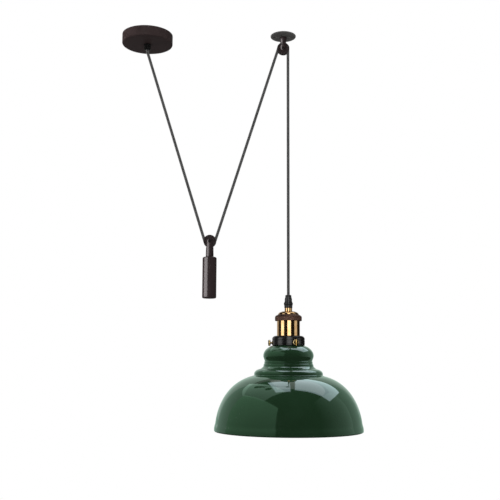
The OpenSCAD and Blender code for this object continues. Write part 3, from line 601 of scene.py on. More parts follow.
cup = {"radius": 52, "depth": 20.5, "wall": 1.2, "edge": 2.2, "outlet": 5.1, "rim": 0.3,
       "floor": 38, "screwHole": 2.25, "screwDrop": 9, "sides": 160}


def makeCup():
    radius, depth, wall, edge = cup["radius"], cup["depth"], cup["wall"], cup["edge"]
    outline = [(radius - cup["rim"], 0), (radius, -cup["rim"])]
    outline += roundOff((radius - edge, edge - depth), edge, 0, -90, 10)
    outline += [(cup["floor"], -depth), (cup["outlet"] + 0.3, -depth), (cup["outlet"], 0.3 - depth),
                (cup["outlet"], wall - depth)]
    outline += roundOff((radius - edge, edge - depth), edge - wall, -90, 0, 6)
    outline += [(radius - wall, -cup["rim"]), (radius - wall + cup["rim"], 0)]
    piece = turned("canopyCup", outline, (0, 0, 0), sides=cup["sides"], closed=True)
    for side in (-1, 1):
        place = (side * radius * mm, 0, -cup["screwDrop"] * mm)
        joinWith(piece, rod(cup["screwHole"], 8, place, (1, 0, 0), 32), "DIFFERENCE")
    smooth(piece)
    show(piece, "ceiling", "canopy", "cup")


cupGrip = {"radius": 7.75, "neck": 6.95, "top": -20.5, "foot": -32, "bore": 2.9, "nipple": 4.9,
           "nippleTop": -14.9, "thread": 0.25, "pitch": 1.0, "screw": 1.75, "screwHeight": -26.25,
           "curve": 2.2, "sides": 72}


def threadLine(radius, depth, low, high, pitch):  # ridges of a thread between two heights
    count = int(abs(high - low) / pitch)
    step = (high - low) / count
    points = []
    for i in range(count):
        points += [(radius, low + step * (i + 0.12)), (radius, low + step * (i + 0.38)),
                   (radius - depth, low + step * (i + 0.62)), (radius - depth, low + step * (i + 0.88))]
    return points


def makeCupGrip():
    radius, neck, top, foot = (cupGrip[key] for key in ("radius", "neck", "top", "foot"))
    bore, nipple, nippleTop = (cupGrip[key] for key in ("bore", "nipple", "nippleTop"))
    outline = [(bore, nippleTop), (nipple - 0.4, nippleTop)]
    outline += threadLine(nipple, cupGrip["thread"], nippleTop - 0.3, top, cupGrip["pitch"])
    outline += [(radius - 0.3, top), (radius, top - 0.3), (radius, top - 2), (radius - 0.2, top - 2.3),
                (neck + 0.15, top - 2.85), (neck, top - 3.1)]
    curve = cupGrip["curve"]
    outline += roundOff((neck - curve, foot + curve), curve, 0, -90, 8)
    outline += [(bore + 0.4, foot), (bore, foot + 0.4)]
    piece = turned("canopyGrip", outline, (0, 0, 0), sides=cupGrip["sides"], closed=True)
    place = (0, 6 * mm, cupGrip["screwHeight"] * mm)
    joinWith(piece, rod(cupGrip["screw"], 8, place, (0, 1, 0), 24), "DIFFERENCE")
    smooth(piece)
    show(piece, "ceiling", "canopy_cord_grip", "grips")


makeCup()
makeCupGrip()


# The ceiling pulley: a round plate, a fork, and a wheel on its axle.

plate = {"centre": 282, "radius": 26.25, "thickness": 3.2, "pitch": 35, "hole": 2.2, "sink": 1.9,
         "bore": 2.6, "boreTop": 5.0, "sides": 128}


def makePlate():
    radius, foot = plate["radius"], -plate["thickness"]
    centre = (plate["centre"] * mm, 0, 0)
    outline = [(plate["boreTop"], 0), (radius - 0.4, 0), (radius, -0.4)]
    outline += sweepTo((radius, -1.2), (radius, foot + 0.6), (radius - 1.2, foot + 0.2),
                       (radius - 4, foot), 8)
    outline += [(radius - 4, foot), (plate["bore"], foot), (plate["bore"], foot + 0.8)]
    piece = turned("pulleyPlate", outline, centre, sides=plate["sides"], closed=True)
    for side in (-1, 1):
        bore, sink = plate["hole"], plate["sink"]
        hole = [(0, foot - 1), (bore + sink + 1, foot - 1), (bore, foot + sink), (bore, 1), (0, 1)]
        place = ((plate["centre"] + side * plate["pitch"] / 2) * mm, 0, 0)
        joinWith(piece, turned("countersink", hole, place, sides=48), "DIFFERENCE")
    smooth(piece)
    show(piece, "ceiling", "pulley_plate", "plate")


fork = {"radius": 7.1, "slot": 8.6, "clearance": 13.75, "axleHole": 1.85, "seat": 3.6, "cheek": 6.2,
        "edge": 0.25, "sides": 96}


def cutFork(piece, centre, openSide):  # the wheel's slot, the axle's hole and its two flat seats
    x, z = centre
    place = Vector((x * mm, 0, z * mm))
    across = (0, 1, 0)
    joinWith(piece, rod(fork["clearance"], fork["slot"], place, across, fork["sides"]),
             "DIFFERENCE")
    mouth = place + Vector((0, 0, openSide * 15 * mm))
    joinWith(piece, block((30, fork["slot"], 30), mouth), "DIFFERENCE")
    joinWith(piece, rod(fork["axleHole"], 40, place, across, 40), "DIFFERENCE")
    for side in (-1, 1):
        seat = place + Vector((0, side * (fork["cheek"] + 7.1) * mm, 0))
        joinWith(piece, rod(fork["seat"], 14.2, seat, across, 48), "DIFFERENCE")
    soften(piece, fork["edge"])


ceilingFork = {"centre": (282, -28), "waist": 6, "length": 24.8, "screwHole": 2.55,
               "holeDepth": 7.7}


def makeCeilingFork():
    radius, waist, length = fork["radius"], ceilingFork["waist"], ceilingFork["length"]
    holeEnd = length - ceilingFork["holeDepth"]
    outline = [(0, holeEnd), (ceilingFork["screwHole"], holeEnd), (ceilingFork["screwHole"], length),
               (radius - 0.4, length), (radius, length - 0.4), (radius, length - 4)]
    outline += sweepTo((radius, length - 4.5), (radius, length - 8), (waist, length - 8),
                       (waist, length - 12.5), 10)
    outline += sweepTo((waist, length - 12.5), (waist, length - 16), (radius, 8), (radius, 3), 10)
    outline += roundOff((0, 0), radius, 0, -88, 14) + [(0, -radius)]
    x, z = ceilingFork["centre"]
    piece = turned("ceilingFork", outline, (x * mm, 0, z * mm), sides=fork["sides"])
    cutFork(piece, ceilingFork["centre"], -1)
    show(piece, "ceiling", "ceiling_fork", "fork")


wheel = {"radius": 12.75, "half": 4.0, "bore": 3.15, "groove": 9.9, "grooveRadius": 2.9,
         "mouth": 3.38, "hub": 4.34, "hubDepth": 0.7, "web": 9.25, "sides": 112}


def makeWheel(name, centre):
    half, groove, cut = wheel["half"], wheel["groove"], wheel["grooveRadius"]
    hub, web, radius, mouth = (wheel[key] for key in ("hub", "web", "radius", "mouth"))
    dish = half - wheel["hubDepth"]
    face = [(wheel["bore"], half), (hub, half), (hub + 0.3, half - 0.2), (hub + 0.6, dish),
            (6.9, dish), (web - 0.3, half - 0.5), (web, half - 0.1), (web + 0.3, half),
            (radius - 0.3, half), (radius, half - 0.2), (radius, mouth + 0.1),
            (radius - 0.2, mouth - 0.03)]
    outline = [(reach, -height) for reach, height in face]
    outline += [(groove, -cut)] + roundOff((groove, 0), cut, -96, -264, 14) + [(groove, cut)]
    outline += face[::-1]
    x, z = centre
    return turned(name, outline, (x * mm, 0, z * mm), axis=(0, 1, 0), sides=wheel["sides"],
                  closed=True)


axle = {"radius": 1.8, "end": 7.8, "cheek": 6.2, "head": 3.2, "headHeight": 1.3, "groove": 0.4,
        "clip": 6.35, "clipWidth": 0.6, "sides": 48}


def makeAxle(name, centre):
    radius, end, cheek, head = (axle[key] for key in ("radius", "end", "cheek", "head"))
    groove, top = radius - axle["groove"], cheek + axle["headHeight"]
    low, high = -axle["clip"] - axle["clipWidth"] - 0.05, 0.05 - axle["clip"]
    outline = [(0, -end), (radius - 0.4, -end), (radius, 0.4 - end), (radius, low), (groove, low),
               (groove, high), (radius, high), (radius, cheek + 0.05), (head - 0.1, cheek + 0.05),
               (head, cheek + 0.15), (head, cheek + 0.5)]
    outline += sweepTo((head - 0.05, cheek + 0.7), (head - 0.5, top), (1.5, top), (0, top), 8)
    outline += [(0, top)]
    x, z = centre
    return turned(name, outline, (x * mm, 0, z * mm), axis=(0, -1, 0), sides=axle["sides"])


def copyTo(piece, name, move):  # a copy with its own mesh
    copy = piece.copy()
    copy.data = piece.data.copy()
    bpy.context.scene.collection.objects.link(copy)
    copy.matrix_world = move
    return settle(copy, name)


makePlate()
makeCeilingFork()
ceilingWheel = makeWheel("ceilingWheel", flex["ceilingWheel"])
ceilingAxle = makeAxle("ceilingAxle", flex["ceilingWheel"])
across, down = (near - far for near, far in zip(flex["weightWheel"], flex["ceilingWheel"]))
toWeight = Matrix.Translation((across * mm, 0, down * mm))
weightWheel = copyTo(ceilingWheel, "weightWheel", toWeight)
weightAxle = copyTo(ceilingAxle, "weightAxle", toWeight)
show(ceilingWheel, "ceiling_pulley", "ceiling_wheel", "wheel")
show(ceilingAxle, "ceiling", "ceiling_axle", "axle")
show(weightWheel, "weight_pulley", "weight_wheel", "wheel")
show(weightAxle, "counterweight", "weight_axle", "axle")


# The counterweight: a fork screwed to a round bar.

weight = {"axle": flex["weightWheel"], "stem": 31.5, "neck": 7.6, "root": 7.8, "stud": 3.05,
          "studDepth": 10.5, "radius": 14.1, "length": 83, "top": 9.0, "foot": 3.0, "sides": 128}


def makeWeightFork():
    radius, neck, stem, root = fork["radius"], weight["neck"], weight["stem"], weight["root"]
    outline = [(0, weight["studDepth"] - stem), (weight["stud"], weight["studDepth"] - stem),
               (weight["stud"], -stem), (root - 0.5, -stem), (root, 0.5 - stem)]
    outline += sweepTo((root, 5 - stem), (root, 8 - stem), (neck, 8 - stem), (neck, 12 - stem), 8)
    outline += sweepTo((neck, 12 - stem), (neck, -12), (radius, -10), (radius, -5), 10)
    outline += [(radius, -2.5)] + roundOff((0, 0), radius, 0, 88, 14) + [(0, radius)]
    x, z = weight["axle"]
    piece = turned("weightFork", outline, (x * mm, 0, z * mm), sides=fork["sides"])
    cutFork(piece, weight["axle"], 1)
    show(piece, "counterweight", "weight_fork", "fork")


def makeWeight():
    radius, length, foot = weight["radius"], weight["length"], weight["foot"]
    outline = [(0, 0)] + roundOff((radius - foot, foot), foot, -90, 0, 10)
    outline += [(radius, length / 2)]
    outline += sweepTo((radius, length - 3.6), (radius, length - 1.6), (radius - 1.2, length - 0.6),
                       (weight["top"], length), 12)
    outline += [(weight["top"], length), (weight["stud"], length),
                (weight["stud"], length - weight["studDepth"]), (0, length - weight["studDepth"])]
    x, z = weight["axle"]
    piece = turned("weightBar", outline, (x * mm, 0, (z - weight["stem"] - length) * mm),
                   sides=weight["sides"])
    show(piece, "counterweight", "weight_cylinder", "weight")


makeWeightFork()
makeWeight()


# The lamp. Its outlines are in millimetres above the shade's rim.

lampPlace = Vector((0.2919, 0, -0.805))
lampGrip = {"bore": 2.9, "spigot": 5.0, "nipple": 4.9, "nippleFoot": 231.5, "foot": 239.0,
            "top": 249.2, "spigotTop": 254.2, "sides": 72}


def makeLampGrip():
    foot, top, bore = lampGrip["foot"], lampGrip["top"], lampGrip["bore"]
    nipple, low = lampGrip["nipple"], lampGrip["nippleFoot"]
    body = [(bore, low), (nipple - 0.3, low)] + threadLine(nipple, 0.25, low + 0.3, foot, 1.0)
    body += [(7.5, foot), (7.9, foot + 0.2), (8.05, foot + 0.7), (8.2, foot + 5), (8.45, foot + 6.4)]
    body += sweepTo((8.45, foot + 6.4), (8.9, foot + 7.2), (9.0, foot + 7.8), (9.0, top - 1.6), 6)
    body += [(9.0, top - 1.6), (9.0, top - 0.9), (8.8, top - 0.3), (8.4, top)]
    spigot, high = lampGrip["spigot"], lampGrip["spigotTop"]
    body += threadLine(spigot, 0.25, top + 0.2, high - 0.2, 1.0)
    body += [(spigot - 0.4, high), (bore, high)]
    piece = turned("lampGripBody", body, lampPlace, sides=lampGrip["sides"], closed=True)
    show(piece, "lamp", "lamp_grip_body", "grips")
    nut = [(5.1, top), (8.0, top), (8.3, top + 0.2), (8.35, top + 0.5), (8.2, top + 1)]
    nut += sweepTo((8.1, top + 1.3), (7.6, top + 2), (7.3, top + 2.6), (7.2, top + 4), 6)
    nut += [(7.2, top + 4), (7.2, top + 7.6), (6.4, top + 10.4), (5.9, top + 12.8), (6.1, top + 13.2),
            (6.15, top + 14), (5.95, top + 14.7), (5.5, top + 15.3), (4.9, top + 15.6),
            (3.3, top + 15.6), (bore, top + 15.2), (bore, top + 5.4), (5.1, top + 5.4)]
    piece = turned("lampGripNut", nut, lampPlace, sides=lampGrip["sides"], closed=True)
    show(piece, "lamp", "lamp_grip_nut", "grips")


holder = {"barrel": 22.6, "wall": 0.9, "low": 184.0, "barrelTop": 215.8, "ringFoot": 213.4,
          "ringTop": 222.1, "ring": 26.5, "grooves": 96, "grooveDepth": 0.2, "capTop": 232.4,
          "dome": 20.6, "neck": 7.5, "neckTop": 239.0, "capBore": 4.95, "sides": 144}


def makeHolder():
    radius, wall = holder["barrel"], holder["wall"]
    low, top = holder["low"], holder["barrelTop"]
    outline = [(radius - wall, low), (radius - 0.3, low), (radius - 0.05, low + 0.1),
               (radius, low + 0.35), (radius, (low + top) / 2), (radius, top), (radius - wall, top)]
    piece = turned("holderBarrel", outline, lampPlace, sides=holder["sides"], closed=True)
    show(piece, "lamp", "holder_barrel", "brass")

    ring, foot, top = holder["ring"], holder["ringFoot"], holder["ringTop"]
    outline = [(radius + 0.05, foot), (ring - 1.6, foot)]
    outline += roundOff((ring - 1.2, foot + 1.2), 1.2, -65, 0, 5)
    outline += [(ring, foot + 1.5), (ring, top - 1.3)] + roundOff((ring - 1, top - 1), 1, 0, 90, 6)
    outline += [(radius - 1.2, top), (radius - 1.2, top - 4.4), (radius + 0.05, top - 4.4)]
    piece = turned("holderRing", outline, lampPlace, sides=5 * holder["grooves"], closed=True)
    milled(piece, lampPlace, (0, 0, 1), holder["grooves"], holder["grooveDepth"], foot + 1.1,
           top - 0.9, ring - 0.3)
    show(piece, "lamp", "holder_ring", "ring")

    capTop, neck, dome = holder["capTop"], holder["neck"], holder["dome"]
    outline = [(neck - 0.3, holder["neckTop"]), (neck, holder["neckTop"] - 0.3), (neck, capTop + 1.2)]
    outline += sweepTo((neck, capTop + 1.1), (neck, capTop + 0.3), (neck + 0.3, capTop),
                       (neck + 1, capTop - 0.1), 4)
    outline += sweepTo((neck + 1, capTop - 0.1), (14, capTop - 0.2), (19.6, capTop - 2.2),
                       (dome, top + 4.2), 16)
    outline += [(dome, top + 4.2), (dome, top + 3.6), (dome + 0.7, top + 3.4)]
    outline += sweepTo((dome + 0.7, top + 3.4), (dome + 2, top + 3), (ring - 0.8, top + 1.4),
                       (ring - 0.4, top + 0.3), 8)
    bore = holder["capBore"]
    outline += [(ring - 0.4, top + 0.3), (ring - 0.7, top), (radius - 1.6, top), (19.4, top + 2.6),
                (18.8, top + 6), (16, top + 8.4), (9, top + 9.6), (bore, top + 9.8),
                (bore, holder["neckTop"])]
    piece = turned("holderCap", outline, lampPlace, sides=128, closed=True)
    show(piece, "lamp", "holder_cap", "brass")
    piece.data.materials.append(finishes["ring"])
    for face in piece.data.polygons:  # the cap's sloping brim is bronzed, as the ring is
        reach = face.center - lampPlace
        if reach.z < (top + 4.0) * mm and math.hypot(reach.x, reach.y) > (dome - 0.6) * mm:
            face.material_index = 1


gallery = {"radius": 32.2, "wall": 1.5, "foot": 165.3, "top": 184.0, "bore": 19.8, "round": 6.6,
           "groove": 0.5, "boss": 3.6, "bossReach": 32.7, "screwHeight": 170.4, "screwHole": 2.06,
           "screwAngles": (-71, 49, 169), "sides": 160}


def makeGallery():
    radius, wall, foot, top = (gallery[key] for key in ("radius", "wall", "foot", "top"))
    curve, cut = gallery["round"], gallery["groove"]
    deep, near = radius - cut, radius - 0.1
    outline = [(gallery["bore"], top)] + roundOff((radius - curve, top - curve), curve, 90, 0, 12)
    outline += [(radius, top - 7.2), (near, top - 7.35), (deep, top - 7.6), (deep, top - 8.6),
                (near, top - 8.95), (radius, top - 9.2), (radius, foot + 2.8), (near, foot + 2.5),
                (deep, foot + 2.2), (deep, foot + 1.6), (near, foot + 1.3), (radius, foot + 1),
                (radius, foot + 0.3), (radius - 0.3, foot), (radius - wall, foot)]
    outline += roundOff((radius - curve, top - curve), curve - wall, 0, 90, 8)
    outline += [(gallery["bore"], top - wall)]
    piece = turned("lampGallery", outline, lampPlace, sides=gallery["sides"], closed=True)
    for degrees in gallery["screwAngles"]:
        angle = math.radians(degrees)
        outward = Vector((math.cos(angle), math.sin(angle), 0))
        height = Vector((0, 0, gallery["screwHeight"] * mm))
        seat = lampPlace + height + outward * (gallery["bossReach"] - 0.9) * mm
        joinWith(piece, rod(gallery["boss"], 1.8, seat, outward, 48), "UNION")
        joinWith(piece, rod(gallery["screwHole"], 12, seat, outward, 32), "DIFFERENCE")
    smooth(piece)
    show(piece, "lamp", "gallery", "gallery")


thumbScrew = {"shank": 2.0, "thread": 0.3, "pitch": 0.7, "tip": 28.65, "head": 36.1, "radius": 6.0,
              "height": 3.8, "flutes": 20, "fluteDepth": 0.45, "slot": 1.6, "slotDepth": 1.5}


def makeThumbScrews():
    shank, tip, head, radius = (thumbScrew[key] for key in ("shank", "tip", "head", "radius"))
    top = head + thumbScrew["height"]
    outline = [(0, tip), (shank - 0.5, tip), (shank, tip + 0.4)]
    outline += threadLine(shank, thumbScrew["thread"], tip + 0.5, head - 1.4, thumbScrew["pitch"])
    outline += [(shank, head - 1), (shank + 0.4, head - 0.6), (radius - 1.6, head),
                (radius - 0.6, head), (radius - 0.15, head + 0.2), (radius, head + 0.6),
                (radius, head + 1.6), (radius, top - 0.7), (radius - 0.18, top - 0.3),
                (radius - 0.6, top - 0.05), (radius - 1.2, top), (3, top), (0, top)]
    place = lampPlace + Vector((0, 0, gallery["screwHeight"] * mm))
    first = turned("thumbScrew", outline, place, axis=(1, 0, 0), sides=5 * thumbScrew["flutes"])
    milled(first, place, (1, 0, 0), thumbScrew["flutes"], thumbScrew["fluteDepth"], head - 0.1,
           top + 0.1, radius - 0.7)
    slot = place + Vector(((top + 1.5 - thumbScrew["slotDepth"]) * mm, 0, 0))
    joinWith(first, block((3, thumbScrew["slot"], 3 * radius), slot), "DIFFERENCE")
    soften(first, 0.12, angle=50, segments=1)
    centre = Matrix.Translation(lampPlace)
    for side, degrees in zip(("front", "right", "left"), gallery["screwAngles"]):
        turn = Matrix.Rotation(math.radians(degrees), 4, "Z")
        piece = copyTo(first, side + "ThumbScrew", centre @ turn @ centre.inverted())
        show(piece, side + "_screw", "thumb_screw_" + side, "screws")
    bpy.data.objects.remove(first)


makeLampGrip()
makeHolder()
makeGallery()
makeThumbScrews()


# The shade: one spun wall with a rolled lip, a stepped shoulder, a dome and a rolled rim.

shade = {"wall": 0.9, "neck": 28.5, "height": 165, "shoulder": 49.5, "waist": 46.6, "crease": 55.2,
         "collar": 67.2, "domeTop": 105.8, "dome": 142.0, "domeFoot": 17, "outer": 144.5,
         "lipCentre": (28.6, 173.5), "lip": 1.1, "rimCentre": (142.3, 2.3), "roll": 2.3,
         "liningFrom": 5.0, "sides": 224}


def shadeLine():  # the outside, from the neck down to the rim
    neck, tall, shoulder, waist, crease, collar = (
        shade[key] for key in ("neck", "height", "shoulder", "waist", "crease", "collar"))
    domeTop, dome, foot, outer = (shade[key] for key in ("domeTop", "dome", "domeFoot", "outer"))
    start = (collar + 3.6, domeTop)
    reach, fall = dome - start[0], start[1] - foot
    line = [(neck, tall + 0.8)]
    line += sweepTo((neck + 0.6, tall), (neck + 9, tall - 0.6), (shoulder, tall - 9),
                    (shoulder, tall - 19.5), 18)
    line += sweepTo((shoulder, tall - 19.5), (shoulder, tall - 23.5), (waist + 0.4, tall - 26.5),
                    (waist, tall - 30.6), 12)
    line += sweepTo((waist, tall - 30.6), (waist + 1.1, tall - 31), (waist + 0.9, tall - 33.8),
                    (waist + 0.7, tall - 35.2), 8)  # two spun beads round the waist
    line += sweepTo((waist + 0.7, tall - 35.2), (waist + 2.2, tall - 35.7), (waist + 2.4, tall - 38.4),
                    (waist + 2.5, tall - 39.8), 8)
    line += sweepTo((waist + 2.5, tall - 39.8), (waist + 3.1, tall - 41.6), (crease - 3, tall - 43.4),
                    (crease, tall - 45.6), 8)
    line += sweepTo((crease, tall - 45.6), (crease + 3.6, tall - 46), (collar - 1.2, tall - 48.2),
                    (collar, tall - 53.8), 14)
    line += [(collar, tall - 53.8), (collar + 0.1, tall - 55.2), (collar, tall - 56)]
    line += sweepTo((collar - 0.2, tall - 56.6), (collar, tall - 58), (start[0] - 2, start[1] + 0.7),
                    start, 6)
    line += sweepTo(start, (start[0] + 0.85 * reach, start[1] - 0.17 * fall), (dome - 1.4, foot + 12),
                    (dome, foot), 34)
    line += sweepTo((dome, foot), (dome + 0.6, foot - 4.5), (outer - 0.2, 10), (outer, 5), 7)
    return line + [(outer, 5), (outer, 3.4)]


def makeShade():
    outside = shadeLine()
    lining = inset([(shade["neck"], shade["lipCentre"][1] - shade["lip"])] + outside, shade["wall"])
    outline = roundOff(shade["lipCentre"], shade["lip"], 204, -95, 12) + outside
    outline += roundOff(shade["rimCentre"], shade["roll"], 16, -304, 20) + lining[:0:-1]
    piece = turned("domeShade", outline, lampPlace, sides=shade["sides"], closed=True)
    show(piece, "lamp", "shade", "shade")
    piece.data.materials.append(finishes["lining"])
    for face in piece.data.polygons:
        reach = face.center - lampPlace
        across = Vector((reach.x, reach.y, 0)).normalized()
        facing = face.normal.dot(across) + face.normal.z
        if facing < 0 and shade["liningFrom"] * mm < reach.z < shade["lipCentre"][1] * mm:
            face.material_index = 1


makeShade()


# The socket's screw shell, seen from under the shade.

shell = {"radius": 13.2, "wall": 0.5, "low": 163.5, "length": 22, "pitch": 3.63, "depth": 0.55,
         "sides": 72}


def makeShell():
    count = int(shell["length"] / shell["pitch"]) * 10
    wave = []
    for i in range(count + 1):
        height = shell["low"] + shell["length"] * i / count
        turns = (height - shell["low"]) / shell["pitch"]
        wave.append((shell["depth"] * 0.5 * (1 - math.cos(2 * math.pi * turns)), height))
    outer = [(shell["radius"] + shell["wall"], height) for share, height in wave]
    inner = [(shell["radius"] - share, height) for share, height in wave]
    piece = turned("screwShell", outer + inner[::-1], lampPlace, sides=shell["sides"], closed=True)
    show(piece, "lamp", "screw_shell", "contacts")


makeShell()


# The parts that keep their CAD shape get their finishes.

keptNodes = {
    "ceiling_bracket": "steel", "earth_screw": "contacts", "canopy_side_screws": "dark steel",
    "canopy_grip_nut": "steel", "canopy_grip_screw": "dark steel", "terminal_block": "nylon",
    "terminal_screws": "contacts", "core_live": "brown", "core_neutral": "blue",
    "core_earth": "earth", "fork_screw": "steel", "ceiling_axle_clip": "steel",
    "ceiling_wheel_bush": "contacts", "weight_wheel_bush": "contacts", "weight_axle_clip": "steel",
    "weight_stud": "steel", "socket_core": "ceramic", "socket_terminals": "contacts",
    "socket_skirt": "skirt", "centre_contact": "contacts", "lamp_core_live": "brown",
    "lamp_core_neutral": "blue", "lamp_core_earth": "earth", "gallery_nut": "skirt",
}
for node, finish in keptNodes.items():
    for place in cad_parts[node].material_slots:
        place.material = finishes[finish]
print(len(keptNodes), "CAD parts finished")


# The floor, the white surroundings, the cards and the lamps.

studio = {"floor": 3.4, "floorAt": (0.2, 0, -1.35), "ambient": 0.5, "middle": (0.29, 0.0)}


def makeFloor():
    deselect()
    bpy.ops.mesh.primitive_plane_add(size=studio["floor"], location=studio["floorAt"])
    floor = bpy.context.object
    floor.name = "floor"
    material, tree, shader = newMaterial("paleFloor")
    dust = noise(tree, placeOf(tree), 3, 4, 0.6)
    colour = tones(tree, dust, (0.3, paint(238, 238, 238)), (0.7, paint(244, 244, 244)))
    finishShader(tree, shader, colour, between(tree, dust, 0.7, 0.9))
    floor.data.materials.append(material)


def makeSurroundings():  # white to the camera and in reflections, softer as a light
    world = bpy.data.worlds.new("whiteRoom")
    bpy.context.scene.world = world
    world.use_nodes = True
    tree = world.node_tree
    rays = tree.nodes.new("ShaderNodeLightPath")
    seen = calc(tree, "MAXIMUM", rays.outputs["Is Camera Ray"], rays.outputs["Is Glossy Ray"])
    seen = calc(tree, "MAXIMUM", seen, rays.outputs["Is Transmission Ray"])
    background = tree.nodes["Background"]
    background.inputs["Color"].default_value = (1, 1, 1, 1)
    tree.links.new(between(tree, seen, studio["ambient"], 1, 0, 1), background.inputs["Strength"])


# Cards and sheets: the dark and dim surfaces that the parts reflect all round, above and below.
# Angles are round the lamp, from the side the camera stands on, to the right.

cards = {
    "cardFront": {"from": -22, "to": 152, "radius": 2.7, "low": -1.3, "high": 2.6, "glow": 0.012},
    "cardLeft": {"from": -145, "to": -22, "radius": 2.75, "low": -1.3, "high": 2.6, "glow": 0.02},
    "cardBack": {"from": 145, "to": 215, "radius": 2.7, "low": -0.72, "high": 2.6, "glow": 0.28},
    "cardLow": {"from": 145, "to": 215, "radius": 2.7, "low": -1.3, "high": -0.72, "glow": 0.05},
}
sheets = {
    "sheetAbove": {"corners": ((-2.8, -2.8), (3.1, -0.05)), "height": 2.6, "glow": 0.015},
    "sheetAboveLeft": {"corners": ((-2.8, -0.05), (-0.4, 2.7)), "height": 2.6, "glow": 0.02},
    "sheetBelow": {"corners": ((-2.8, -2.8), (3.1, 2.8)), "height": -1.3, "glow": 0.03},
}


def glowMaterial(name, glow):
    material, tree, shader = newMaterial(name)
    tree.nodes.remove(shader)
    emission = tree.nodes.new("ShaderNodeEmission")
    weave = noise(tree, placeOf(tree), 4, 2)
    tree.links.new(between(tree, weave, glow * 0.9, glow * 1.1), emission.inputs["Strength"])
    tree.links.new(emission.outputs["Emission"], tree.nodes["Material Output"].inputs["Surface"])
    return material


def onlyReflected(card, name, glow):
    card.name = name
    card.data.materials.append(glowMaterial(name, glow))
    for ray in ("camera", "diffuse", "shadow", "transmission"):
        setattr(card, "visible_" + ray, False)


def makeCards():
    for name, card in cards.items():
        depth = card["high"] - card["low"]
        middle = (*studio["middle"], card["low"] + depth / 2)
        deselect()
        bpy.ops.mesh.primitive_cylinder_add(vertices=180, radius=card["radius"], depth=depth,
                                            end_fill_type="NOTHING", location=middle)
        wall = bpy.context.object

        def isOutside(face):
            angle = math.degrees(math.atan2(face.center.x, -face.center.y))
            return (angle - card["from"]) % 360 > card["to"] - card["from"]

        pick(wall, "polygons", isOutside)
        bpy.ops.mesh.delete(type="FACE")
        stopEditing()
        onlyReflected(wall, name, card["glow"])
    for name, spread in sheets.items():
        (left, front), (right, back) = spread["corners"]
        middle = ((left + right) / 2, (front + back) / 2, spread["height"])
        deselect()
        bpy.ops.mesh.primitive_plane_add(size=1, location=middle)
        sheet = bpy.context.object
        sheet.scale = (right - left, back - front, 1)
        onlyReflected(sheet, name, spread["glow"])


# The lamps. Each shines only on the pieces it is made for: strips on the brass, panels and the
# two softboxes overhead on the enamel, and lamps at the sides that give no reflection on all.
# Its glow is how bright it looks, where 1 is white.

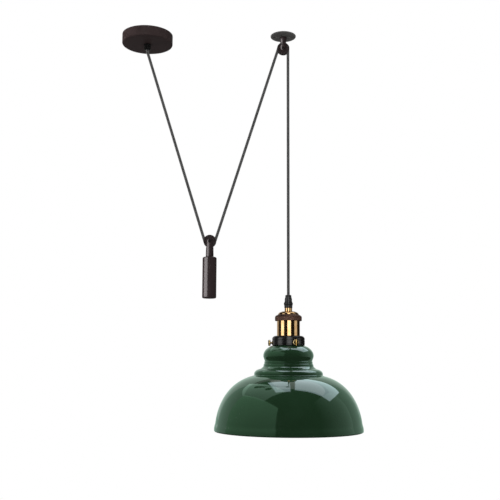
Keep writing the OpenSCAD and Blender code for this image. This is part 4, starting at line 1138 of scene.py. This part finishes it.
polished = ("holderBarrel", "holderCap", "holderRing", "lampGallery", "frontThumbScrew",
            "rightThumbScrew", "leftThumbScrew", "lampGripBody", "lampGripNut", "screwShell")
darkMetal = ("weightBar", "weightFork", "ceilingFork")
everyPiece = [piece.name for piece in bpy.context.scene.objects if piece.type == "MESH"]
paleSide = [name for name in everyPiece if name not in (*darkMetal, "canopyCup")]
cool, mossy, silver = (0.72, 0.93, 1.0), (0.47, 1.0, 0.62), (0.64, 1.0, 0.8)
onEnamel = {"for": ("domeShade",), "colour": silver, "shines": "glossy"}
onBrass = {"for": polished, "shines": "glossy"}
overhead = {"for": ("domeShade",), "colour": cool}
softboxes = {
    "overheadLeft": {"place": (0.08, 0.3, 1.0), "size": (0.54, 1.3), "glow": 3.6, **overhead},
    "overheadRight": {"place": (1.46, 0.8, 1.0), "size": (1.94, 2.0), "glow": 3.4, **overhead},
    "stripLeft": {"angle": -64, "distance": 2.3, "height": 0.2, "size": (1.32, 2.8), "glow": 1.8,
                  **onBrass},
    "stripFront": {"angle": 5, "distance": 2.3, "height": 0.6, "size": (1.36, 3.6), "glow": 2.2,
                   **onBrass},
    "stripTop": {"place": (0.32, -1.2, 1.9), "size": (0.9, 1.6), "glow": 2.3, **onBrass},
    "stripRight": {"angle": 77, "distance": 2.3, "height": -0.3, "size": (1.4, 1.8), "glow": 0.7,
                   **onBrass},
    "stripEdge": {"angle": -147, "distance": 2.3, "height": -0.3, "size": (2.9, 1.8),
                  "glow": 0.35, **onBrass},
    "stripWeight": {"angle": -62, "distance": 2.2, "height": 0.0, "size": (2.3, 3.0), "glow": 5.0,
                    "for": darkMetal, "shines": "glossy"},
    "panelLeft": {"angle": -67, "distance": 1.9, "height": 0.15, "size": (3.8, 2.8), "glow": 0.56,
                  "fade": ("Y", 0.6, 1.6), **onEnamel, "colour": mossy},
    "panelBackLeft": {"angle": -144, "distance": 2.28, "height": 0.15, "size": (2.85, 2.8),
                      "glow": 0.6, **onEnamel},
    "panelHigh": {"place": (-1.16, 0.6, 1.45), "turn": -67, "size": (2.95, 1.6), "glow": 1.0,
                  "fade": ("Y", 0.65, 1.45), **onEnamel},
    "panelRight": {"angle": 80, "distance": 1.9, "height": 0.15, "size": (2.37, 2.8),
                   "glow": 0.53, "fade": ("X", 0, 1.5), **onEnamel},
    "panelBackRight": {"angle": 144, "distance": 1.9, "height": 0.15, "size": (2.37, 2.8),
                       "glow": 0.53, **onEnamel},
    "sideLeft": {"angle": -105, "distance": 2.3, "height": 0.1, "size": (1.2, 1.2), "glow": 11,
                 "for": everyPiece, "shines": "diffuse"},
    "sideRight": {"angle": 108, "distance": 2.3, "height": 0.0, "size": (1.2, 1.2), "glow": 8,
                  "for": paleSide, "shines": "diffuse"},
    "frontFill": {"angle": -12, "distance": 2.3, "height": 0.1, "size": (1.2, 1.2), "glow": 4.2,
                  "for": everyPiece, "shines": "diffuse"},
}


def fade(lamp, way, dim, bright):  # from dim at one edge to bright at the other
    lamp.use_nodes = True
    tree = lamp.node_tree
    place = tree.nodes.new("ShaderNodeNewGeometry").outputs["Parametric"]
    parts = tree.nodes.new("ShaderNodeSeparateXYZ")
    tree.links.new(place, parts.inputs["Vector"])
    strength = between(tree, parts.outputs[way], dim, bright, 0, 1)
    tree.links.new(strength, tree.nodes["Emission"].inputs["Strength"])


def makeSoftboxes():
    for name, box in softboxes.items():
        place, turn = box.get("place"), (0, 0, math.radians(box.get("turn", 0)))
        if "angle" in box:
            angle = math.radians(box["angle"])
            middle = Vector((*studio["middle"], box["height"]))
            place = middle + Vector((math.sin(angle), -math.cos(angle), 0)) * box["distance"]
            turn = (middle - place).to_track_quat("-Z", "Y").to_euler()
        bpy.ops.object.light_add(type="AREA", location=place, rotation=turn)
        lamp = bpy.context.object
        lamp.name = name
        lamp.data.shape = "RECTANGLE"
        lamp.data.size, lamp.data.size_y = box["size"]
        lamp.data.energy = box["glow"] * math.pi * box["size"][0] * box["size"][1]
        lamp.data.color = box.get("colour", (1, 1, 1))
        lamp.visible_camera = False
        lamp.visible_glossy = box.get("shines") != "diffuse"
        lamp.visible_diffuse = box.get("shines") != "glossy"
        if "fade" in box:
            fade(lamp.data, *box["fade"])
        group = bpy.data.collections.new(name + "Pieces")
        for piece in box["for"]:
            group.objects.link(bpy.data.objects[piece])
        lamp.light_linking.receiver_collection = group


makeFloor()
makeSurroundings()
makeCards()
makeSoftboxes()
bpy.context.scene.view_settings.view_transform = "Standard"
print("studio lit")


print("scene built")
